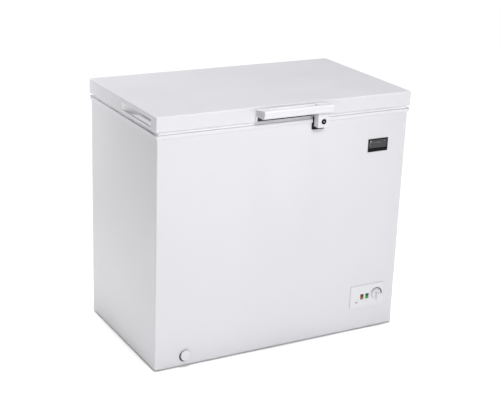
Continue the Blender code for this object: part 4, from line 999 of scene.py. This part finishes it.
@dataclass
class Lock:
    """The white housing under the handle, its black barrel with a bright keyway, the cam and the keeper."""

    barrel_radius: float = 0.0085
    rim: float = 0.0011
    dish: float = 0.0009
    keyway_radius: float = 0.0023
    keyway_edge: float = 0.0004
    keyway_depth: float = 0.0012
    slot_width: float = 0.0006
    slot_height: float = 0.0030
    neck_radius: float = 0.004
    neck_share: float = 0.68

    def build(self) -> None:
        """Makes every piece of the sub-assembly."""
        refined("lock_housing", PLASTIC, "lock_case", bevel=0.0009, sharp=28)
        # The keeper is black plastic; its black also stands in, as painted shadow, for the dark gap behind
        # the housing.
        refined("lock_keeper", BLACK_PLASTIC, "keeper_bracket", bevel=0.0005)
        refined("lock_cam", ZINC, "cam_plate", bevel=0.0003)
        self.barrel()

    def barrel(self) -> None:
        """A turned barrel with a rounded rim and a dished face, its bright disc and the slot across that."""
        low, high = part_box("lock_barrel")
        place = Vector(((low.x + high.x) / 2, low.y, (low.z + high.z) / 2))
        r, rim = self.barrel_radius, self.rim
        length = high.y - low.y
        face = [(0, self.dish), (self.keyway_radius + 0.0008, self.dish), (r - 2.4 * rim, self.dish * 0.8),
                (r - 1.8 * rim, 0.0002), *[(x, y) for x, y in arc((r - rim, rim), rim, -90, 0, 6)]]
        shoulder, stem = length * self.neck_share, self.neck_radius
        neck = [(r, shoulder), (stem, shoulder), (stem, length), (0, length)]
        rings = turned_rings(face + neck, "Y", place, 56)
        Piece("barrel").loft(rings).finish("lock", BLACK_PLASTIC, replaces=("lock_barrel",), sharp=45)
        outer, proud = self.keyway_radius, self.keyway_edge / 2
        disc = [(0, -proud), (outer - self.keyway_edge, -proud), (outer, proud), (outer, self.keyway_depth),
                (0, self.keyway_depth)]
        rings = turned_rings(disc, "Y", place + Vector((0, self.dish, 0)), 40)
        Piece("keyway").loft(rings).finish("lock", KEYWAY, sharp=30)
        slot_low = place + Vector((-self.slot_width / 2, self.dish - 0.0005, -self.slot_height / 2))
        slot_high = place + Vector((self.slot_width / 2, self.dish + 0.0006, self.slot_height / 2))
        rings = block_rings(slot_low, slot_high, "Y", 0.0005, 0.0001, 3)
        Piece("key_slot").loft(rings).finish("lock", BLACK_PLASTIC)


# ---------------------------------------------------------------- display and controls


@dataclass
class Display:
    """The black temperature display: a bezel, a dark window over a grey panel, and its unlit segments."""

    proud: float = 0.0002
    lcd_inset: float = 0.0016
    lcd_proud: float = 0.0001
    lcd_sunk: float = 0.0004
    top_share: float = 0.7
    stroke_rise: float = 0.00008
    band: float = 0.0036
    strokes: tuple[tuple[float, float, float, float], ...] = (
        (0.0020, 0.0034, -0.0100, -0.0022), (0.0034, 0.0086, -0.0036, -0.0022),
        (0.0034, 0.0072, -0.0070, -0.0057), (0.0004, 0.0013, -0.0220, -0.0105),
        (0.0188, 0.0212, -0.0098, -0.0088), (0.0300, 0.0310, -0.0110, -0.0070),
        (0.0350, 0.0410, -0.0104, -0.0094), (0.0480, 0.0500, -0.0120, -0.0112),
        (0.0590, 0.0602, -0.0062, -0.0030))

    def build(self) -> None:
        """Makes every piece of the sub-assembly."""
        refined("display_housing", BLACK_PLASTIC, "display_bezel", bevel=0.0006, sharp=28)
        refined("display_board", BOARD, "display_circuit", bevel=0.0002)
        self.window()

    def window(self) -> None:
        """The window plate, then the grey panel and its thin segments, a fraction of a millimetre proud."""
        low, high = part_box("display_window")
        rings = block_rings(low - Vector((0, self.proud, 0)), high, "Y", 0.0022, 0.0005, 5)
        Piece("display_glass").loft(rings).finish("cabinet", WINDOW, replaces=("display_window",))
        face = low.y - self.proud
        inset = self.lcd_inset
        panel_low = Vector((low.x + inset, face - self.lcd_proud, low.z + self.band))
        panel_high = Vector((high.x - inset, face + self.lcd_sunk, high.z - inset * self.top_share))
        panel = Piece("display_panel").loft(block_rings(panel_low, panel_high, "Y", 0.0012, 0.00004, 3))
        panel.finish("cabinet", LCD, sharp=PRINT_SHARP)
        self.digits(panel_low, panel_high)

    def digits(self, low: Vector, high: Vector) -> None:
        """The unlit marks, thin blocks of (left, right, low, high) from the panel's upper left corner.

        Args:
            low: The panel's lowest corner.
            high: Its highest corner.
        """
        piece = Piece("display_segments")
        front, back = low.y - self.stroke_rise, low.y + self.proud
        for x0, x1, z0, z1 in self.strokes:
            near, far = Vector((low.x + x0, front, high.z + z0)), Vector((low.x + x1, back, high.z + z1))
            piece.loft(block_rings(near, far, "Y", 0.0003, 0.00002, 2))
        piece.finish("cabinet", SEGMENT, sharp=PRINT_SHARP)


@dataclass
class ControlPanel:
    """The white panel at the lower right: two lens lamps, the thermostat knob, its scale and small marks."""

    ridge_share: float = 0.52
    lens_lean: float = 0.0004
    lens_lap: float = 0.0002
    mark_rise: float = 0.00012
    mark_sunk: float = 0.0003
    scale_radius: float = 0.0232
    scale_from: float = 155.0
    scale_to: float = -4.0
    scale_thin: float = 0.0022
    scale_thick: float = 0.0050
    scale_power: float = 1.2
    scale_points: int = 57
    skirt: float = 0.0046
    skirt_soft: float = 0.0012
    ridge_width: float = 0.0074
    ridge_short: float = 0.0022
    ridge_levels: tuple[tuple[float, float], ...] = (
        (0.0, 0.0012), (0.2, 0.0005), (0.75, 0.0), (0.9, -0.0004), (0.97, -0.0011), (1.0, -0.0022))
    # The painted shadow ring round the knob: its reach outside the skirt, its reach under it and its rise.
    knob_painted_shadow: float = 0.0003
    shadow_under: float = 0.001
    shadow_rise: float = 0.0001
    turned: int = 72
    pointer_half: float = 0.0007
    pointer_rise: float = 0.00008
    strokes: tuple[tuple[str, float, float, float, float], ...] = (
        ("lamp_green", 0.0, -0.018, 0.0011, 0.0030),
        ("lamp_orange", -0.0225, -0.019, 0.0100, 0.0030),
        ("lamp_orange", -0.0195, -0.009, 0.0012, 0.0026))

    def build(self) -> None:
        """Makes every piece of the sub-assembly."""
        refined("control_panel", PLASTIC, "panel_plate", bevel=0.0007, sharp=28)
        refined("thermostat_box", BLACK_PLASTIC, "thermostat_case", bevel=0.0006)
        refined("thermostat_shaft", ZINC, "thermostat_spindle", bevel=0.0003)
        self.lamp("lamp_orange", ORANGE, ORANGE_PAINTED_SHADE)
        self.lamp("lamp_green", GREEN, GREEN_PAINTED_SHADE)
        self.knob()
        self.marks()

    def lamp(self, node: str, bright: Finish, dark: Finish) -> None:
        """A lens of two facets: the upper half leans back and takes a darker copy of the lens colour as
        painted shade, the lower half leans out.

        Args:
            node: The CAD lens that it stands for.
            bright: The lower facet's finish.
            dark: The upper facet's finish, the painted shade.
        """
        low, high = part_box(node)
        ridge = low.z + self.ridge_share * (high.z - low.z)
        upper_low = Vector((low.x, low.y + self.lens_lean, ridge - self.lens_lap))
        piece = Piece(f"{node}_lens")
        piece.loft(block_rings(low, Vector((high.x, high.y, ridge)), "Y", 0.0012, 0.0005, 5), zone=0)
        piece.loft(block_rings(upper_low, high, "Y", 0.0012, 0.0005, 5), zone=1)
        piece.finish("cabinet", bright, dark, replaces=(node,))

    def knob(self) -> None:
        """A round skirt with a grip ridge across it, whose ends and crest are rounded."""
        low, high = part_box("thermostat_knob")
        place = Vector(((low.x + high.x) / 2, high.y, (low.z + high.z) / 2))
        radius, height, skirt, soft = (high.x - low.x) / 2, high.y - low.y, self.skirt, self.skirt_soft
        profile = [(0, 0), (radius, 0), (radius, skirt - soft),
                   *[(x, z) for x, z in arc((radius - soft, skirt - soft), soft, 0, 90, 5)],
                   (0, skirt + 0.0002)]
        piece = Piece("knob").loft(turned_rings(profile, "-Y", place, self.turned))
        half_w, half_h = self.ridge_width / 2, radius - self.ridge_short
        rings = []
        for share, grow in self.ridge_levels:
            ring = round_rectangle(half_w + grow, half_h + grow * 0.7, half_w + grow - 0.0002, 8)
            level = np.full(len(ring), place.y - skirt + 0.0004 - (height - skirt) * share)
            rings.append(np.column_stack([ring[:, 0] + place.x, level, ring[:, 1] + place.z]))
        piece.loft(np.array(rings))
        piece.finish("knob", PLASTIC, replaces=("thermostat_knob",), sharp=45)
        self.knob_shade(place, radius)
        half = self.pointer_half
        pointer_low = Vector((place.x - half, low.y - self.pointer_rise, place.z + half_h * 0.35))
        pointer_high = Vector((place.x + half, low.y + 0.0004, place.z + half_h - 0.003))
        pointer = Piece("knob_pointer").loft(block_rings(pointer_low, pointer_high, "Y", 0.0006, 0.00003, 3))
        pointer.finish("knob", PRINT_AND_PAINTED_SHADOW, sharp=PRINT_SHARP)

    def knob_shade(self, place: Vector, radius: float) -> None:
        """A thin dark ring on the panel round the knob, painted shadow where the knob meets the panel.

        Args:
            place: The knob's middle.
            radius: Its radius.
        """
        inner, outer, rise = radius - self.shadow_under, radius + self.knob_painted_shadow, self.shadow_rise
        gap = [(inner, -rise), (outer, -rise), (outer, 3 * rise), (inner, 3 * rise)]
        face = Vector((place.x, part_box("control_panel")[0].y - rise, place.z))
        piece = Piece("knob_painted_shadow").loft(turned_rings(gap, "Y", face, self.turned), closed=True)
        piece.finish("cabinet", PRINT_AND_PAINTED_SHADOW, sharp=PRINT_SHARP)

    def marks(self) -> None:
        """The scale, an arc that thickens clockwise, and three small strokes by the lamps."""
        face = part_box("control_panel")[0].y
        front, back = face - self.mark_rise, face + self.mark_sunk
        centre = middle("thermostat_knob")
        a = np.radians(np.linspace(self.scale_from, self.scale_to, self.scale_points))
        growth = np.linspace(0, 1, len(a)) ** self.scale_power
        half = (self.scale_thin + (self.scale_thick - self.scale_thin) * growth) / 2
        inner, outer = self.scale_radius - half, self.scale_radius + half
        corners = ((inner, back), (outer, back), (outer, front), (inner, front))
        rings = [np.column_stack([centre.x + r * np.cos(a), np.full(len(a), y), centre.z + r * np.sin(a)])
                 for r, y in corners]
        piece = Piece("panel_marks").loft(np.stack(rings, axis=1))
        for lamp, right, up, width, height in self.strokes:
            x, z = middle(lamp).x + right, middle(lamp).z + up
            piece.loft(block_rings(Vector((x - width / 2, front, z - height / 2)),
                                   Vector((x + width / 2, back, z + height / 2)), "Y", 0.0004, 0.00003, 3))
        piece.finish("cabinet", PRINT_AND_PAINTED_SHADOW, sharp=PRINT_SHARP)


@dataclass
class Drain:
    """The round drain cap on the front, its pipe and the stopper in the tank."""

    rim: float = 0.0022
    seal: float = 0.0030
    plug: float = 0.0100
    dish: float = 0.0012
    soft: float = 0.0006
    behind: float = 0.0003
    # Offset of the seal ring that paints the shadow crescent at the cap's lower left.
    ring_shift: float = -0.0032
    shadow_drop: float = -0.0030

    def build(self) -> None:
        """Makes every piece of the sub-assembly."""
        refined("drain_pipe", PLASTIC, "drain_tube", bevel=0.0004)
        self.cap()
        self.stopper()

    def cap(self) -> None:
        """A turned cap: plug behind, round flange in front with a rounded rim and a shallow dish."""
        low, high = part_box("drain_cap")
        place = Vector(((low.x + high.x) / 2, low.y, (low.z + high.z) / 2))
        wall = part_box("outer_wrap")[0].y
        radius, flange, depth = (high.x - low.x) / 2, wall - low.y - self.behind, high.y - low.y
        rim, plug, soft = self.rim, self.plug, self.soft
        face = [(0, self.dish), (radius * 0.62, self.dish), (radius * 0.70, self.dish / 3),
                (radius - rim - 0.001, 0.0), *[(x, y) for x, y in arc((radius - rim, rim), rim, -90, 0, 6)]]
        neck = flange - self.seal
        back = [(radius, neck - soft), (radius - soft, neck), (plug, neck), (plug, depth), (0, depth)]
        piece = Piece("drain_plug").loft(turned_rings(face + back, "Y", place, 72))
        piece.finish("cap", PLASTIC, replaces=("drain_cap",), sharp=40)
        # Painted shadow, partly real: the black rubber seal behind the cap is set off-centre, down and to the
        # left, so that it shows only as a dark crescent there.
        shift = Vector((self.ring_shift, neck, self.shadow_drop))
        end = self.seal - self.behind
        ring = [(plug, 0), (radius - soft, 0), (radius, soft), (radius, end), (plug, end)]
        piece = Piece("drain_seal_shadow").loft(turned_rings(ring, "Y", place + shift, 64), closed=True)
        piece.finish("cap", RUBBER_AND_PAINTED_SHADOW)

    def stopper(self) -> None:
        """A rubber stopper with a bead round its top."""
        refined("drain_stopper", SEAL_WITH_PAINTED_LIGHT, "tank_stopper", bevel=0.0012, sharp=28)


# ---------------------------------------------------------------- tank and basket


@dataclass
class Tank:
    """The embossed aluminium liner and the pipe that cools it."""

    def build(self) -> None:
        """Makes every piece of the sub-assembly."""
        refined("inner_liner", ALUMINIUM, "tank_liner", bevel=0.0, sharp=50)
        paint_node("evaporator_coil", COPPER)


@dataclass
class Basket:
    """A coated wire basket on the collar's ledge: U wires both ways, three hoops and four hangers."""

    wire: float = 0.0016
    rim_wire: float = 0.0025
    lip: float = 0.0175
    corner: float = 0.018
    across: int = 9
    along: int = 17
    end_gap: float = 0.012
    hoop_drop: float = 0.001
    hoop_shares: tuple[float, ...] = (0.34, 0.68)
    hanger_shares: tuple[float, ...] = (0.25, 0.75)
    hanger_width: float = 0.060
    hanger_bend: float = 0.006
    floor_bend: float = 0.010
    first_turn: float = 0.2

    def build(self) -> None:
        """Makes every piece of the sub-assembly."""
        low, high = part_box("basket")
        r = self.rim_wire
        x0, x1 = low.x + r, high.x - r
        y0, y1 = low.y + self.lip + r, high.y - self.lip - r
        top, floor = high.z - r, low.z + self.wire
        rim, gap = top - self.hoop_drop, self.end_gap
        piece = Piece("wire_basket")
        self.hoop(piece, (x0, y0), (x1, y1), rim, r)
        for share in self.hoop_shares:
            self.hoop(piece, (x0, y0), (x1, y1), top - share * (top - floor), self.wire)
        for x in np.linspace(x0 + gap, x1 - gap, self.across):
            self.loop(piece, "Y", x, (y0, y1), rim, floor)
        for y in np.linspace(y0 + gap, y1 - gap, self.along):
            self.loop(piece, "X", y, (x0, x1), rim, floor + 2 * self.wire)
        for side, edge, end in ((-1, y0, low.y + r), (1, y1, high.y - r)):
            for share in self.hanger_shares:
                self.hanger(piece, x0 + share * (x1 - x0), edge, end, top, side)
        piece.finish("basket", WIRE, replaces=("basket",), sharp=60)

    def hoop(self, piece: Piece, low: tuple[float, float], high: tuple[float, float], z: float,
             radius: float) -> None:
        """A closed level hoop with round corners.

        Args:
            piece: The piece that it joins.
            low: Its lowest X and Y.
            high: Its highest X and Y.
            z: Its height.
            radius: The wire's radius.
        """
        half_x, half_y = (high[0] - low[0]) / 2, (high[1] - low[1]) / 2
        ring = round_rectangle(half_x, half_y, self.corner, 6) + np.add(low, high) / 2
        outline = np.column_stack([ring, np.full(len(ring), z)])
        ahead = np.roll(outline, -1, axis=0) - np.roll(outline, 1, axis=0)
        ahead /= np.linalg.norm(ahead, axis=1, keepdims=True)
        up = np.array((0, 0, 1.0))
        out = np.cross(ahead, up)
        a = 2 * np.pi * np.arange(10) / 10
        round_it = out[:, None] * np.cos(a)[:, None] + up * np.sin(a)[:, None]
        piece.loft(outline[:, None] + radius * round_it, closed=True)

    def loop(self, piece: Piece, axis: str, at: float, ends: tuple[float, float], top: float,
             floor: float) -> None:
        """A U wire from one side of the rim down, across the floor and up the other side.

        Args:
            piece: The piece that it joins.
            axis: X or Y, the way that it runs over the floor.
            at: Its place on the other axis.
            ends: Where its two legs stand.
            top: The height of its ends.
            floor: The height of its middle.
        """
        low, high = ends
        bend = self.floor_bend
        half = [(low, top), (low, floor + bend)]
        half += [(low + bend * (1 - math.cos(a)), floor + bend * (1 - math.sin(a)))
                 for a in np.linspace(self.first_turn, math.pi / 2, 5)]
        line = np.array(half + [(low + high - u, z) for u, z in half[::-1]])
        fixed = np.full(len(line), at)
        order = (fixed, line[:, 0], line[:, 1]) if axis == "Y" else (line[:, 0], fixed, line[:, 1])
        piece.loft(pipe_rings(np.column_stack(order), self.wire, 8))

    def hanger(self, piece: Piece, x: float, edge: float, end: float, top: float, side: int) -> None:
        """A bent hook: out from the rim, along the ledge and back.

        Args:
            piece: The piece that it joins.
            x: Its middle.
            edge: The rim's Y.
            end: How far it reaches, along Y.
            top: Its height.
            side: -1 at the front, 1 at the rear.
        """
        w, soft = self.hanger_width / 2, self.hanger_bend
        corners = np.concatenate([arc((x - w + soft, 0), soft, 180, 90, 4),
                                  arc((x + w - soft, 0), soft, 90, 0, 4)])
        points = [(x - w, edge), *[(px, end - side * (soft - py)) for px, py in corners], (x + w, edge)]
        route = np.array([(px, py, top) for px, py in points])
        piece.loft(pipe_rings(route, self.rim_wire, 10))


# ---------------------------------------------------------------- compressor bay


@dataclass
class Compressor:
    """The black hermetic compressor in its bay, with its pipes, mounts and start relay."""

    mounts: int = 4

    def build(self) -> None:
        """Makes every piece of the sub-assembly."""
        refined("compressor_shell", BLACK_PAINT, "compressor_case", bevel=0.0015, sharp=35)
        refined("start_relay_cover", BLACK_PLASTIC, "relay_cover", bevel=0.0015)
        refined("compressor_tray", ZINC, "bay_tray", bevel=0.0004)
        refined("filter_drier", COPPER, "drier", bevel=0.0006, sharp=28)
        refined("suction_pipe", COPPER, "suction_tube", bevel=0.0, sharp=70)
        refined("discharge_pipe", COPPER, "discharge_tube", bevel=0.0, sharp=70)
        for k in range(1, self.mounts + 1):
            refined(f"grommet_{k}", RUBBER_AND_PAINTED_SHADOW, f"mount_{k}", bevel=0.0006, sharp=28)
            refined(f"grille_screw_{k}", ZINC, f"bay_screw_{k}", bevel=0.0003, sharp=28)
        refined("rear_grille", PAINT, "bay_grille", bevel=0.0003)
        refined("cord_gland", BLACK_PLASTIC, "gland", bevel=0.0005, sharp=28)


@dataclass
class Hinges:
    """The two rear hinges."""

    def build(self) -> None:
        """Makes every piece of the sub-assembly."""
        for side in ("left", "right"):
            refined(f"hinge_base_{side}", ZINC, f"hinge_bracket_{side}", bevel=0.0005)
            refined(f"hinge_leaf_{side}", ZINC, f"hinge_flap_{side}", bevel=0.0005)
            refined(f"hinge_pin_{side}", ZINC, f"pin_{side}", bevel=0.0003)


# ---------------------------------------------------------------- studio


@dataclass(frozen=True)
class SoftBox:
    """A rectangular studio light.

    Args:
        name: The light's name.
        place: Where it hangs.
        aim: The point that it faces.
        size: Its width and height.
        power: Its power in watts.
        mirrored: Whether glossy surfaces show it.
    """

    name: str
    place: tuple[float, float, float]
    aim: tuple[float, float, float]
    size: tuple[float, float]
    power: float
    mirrored: bool = True

    def hang(self) -> None:
        """Adds the light to the scene."""
        data = bpy.data.lights.new(self.name, "AREA")
        data.shape = "RECTANGLE"
        data.size, data.size_y = self.size
        data.energy = self.power
        lamp = bpy.data.objects.new(self.name, data)
        lamp.visible_glossy = self.mirrored
        turn = (Vector(self.aim) - Vector(self.place)).to_track_quat("-Z", "Y")
        lamp.matrix_world = Matrix.Translation(self.place) @ turn.to_matrix().to_4x4()
        bpy.context.scene.collection.objects.link(lamp)


@dataclass
class Studio:
    """A plain white floor, soft even light and the camera."""

    ambient: float = 0.13
    floor_half: float = 40.0
    place: tuple[float, float, float] = (-1.9186, -3.41065, 1.8027)
    turn: float = -29.4327
    tilt: float = 70.5417
    roll: float = 2.1636
    lens: float = 85.98
    boxes: tuple[SoftBox, ...] = (
        SoftBox("key_front", (-0.10, -2.6, 2.3), (-0.3, -0.25, 0.7), (0.6, 0.8), 56.0),
        SoftBox("fill_front", (0.15, -3.0, 0.7), (0.1, -0.25, 0.5), (1.0, 0.5), 8.0),
        SoftBox("rear_left", (-0.95, 1.0, 1.05), (-0.4645, 0.2, 0.7), (0.3, 0.5), 8.0, mirrored=False),
        SoftBox("top_rear", (-0.1, 1.0, 1.6), (0.0, 0.2, 0.85), (1.1, 0.3), 3.2, mirrored=False),
    )
    overhead: float = 0.95
    overhead_angle: float = 18.0
    far: float = 200.0

    def build(self) -> None:
        """Adds the world, the lights, the floor and the camera."""
        scene = bpy.context.scene
        scene.view_settings.view_transform = "Standard"
        world = bpy.data.worlds.new("studio")
        world.use_nodes = True
        background = world.node_tree.nodes["Background"]
        background.inputs["Color"].default_value = (1.0, 1.0, 1.0, 1.0)
        background.inputs["Strength"].default_value = self.ambient
        scene.world = world
        for one in self.boxes:
            one.hang()
        data = bpy.data.lights.new("overhead", "SUN")
        data.energy = math.pi * self.overhead
        data.angle = math.radians(self.overhead_angle)
        scene.collection.objects.link(bpy.data.objects.new("overhead", data))
        self.floor()
        self.camera()

    def floor(self) -> None:
        """One large plane at the feet, given a matt white finish."""
        h = self.floor_half
        mesh = bpy.data.meshes.new("studio_floor")
        mesh.from_pydata([(-h, -h, 0), (h, -h, 0), (h, h, 0), (-h, h, 0)], [], [(0, 1, 2, 3)])
        floor = bpy.data.objects.new("studio_floor", mesh)
        bpy.context.scene.collection.objects.link(floor)
        mesh.materials.append(FLOOR.material())

    def camera(self) -> None:
        """The camera: its place, its turn about Z, its tilt and its slight roll."""
        data = bpy.data.cameras.new("view")
        data.lens = self.lens
        data.clip_end = self.far
        camera = bpy.data.objects.new("view", data)
        turn, tilt, roll = (Matrix.Rotation(math.radians(degrees), 4, axis) for degrees, axis in
                            ((self.turn, "Z"), (self.tilt, "X"), (self.roll, "Z")))
        camera.matrix_world = Matrix.Translation(self.place) @ turn @ tilt @ roll
        bpy.context.scene.collection.objects.link(camera)
        bpy.context.scene.camera = camera


def main() -> None:
    """Builds each sub-assembly, then the studio."""
    logging.basicConfig(level=logging.INFO, format="%(name)s %(message)s")
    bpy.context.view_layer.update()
    for part in (Cabinet(), Lid(), Handle(), Lock(), Display(), ControlPanel(), Drain(), Tank(), Basket(),
                 Compressor(), Hinges()):
        LOG.info("building %s", type(part).__name__)
        part.build()
    Studio().build()


if __name__ == "__main__":
    main()
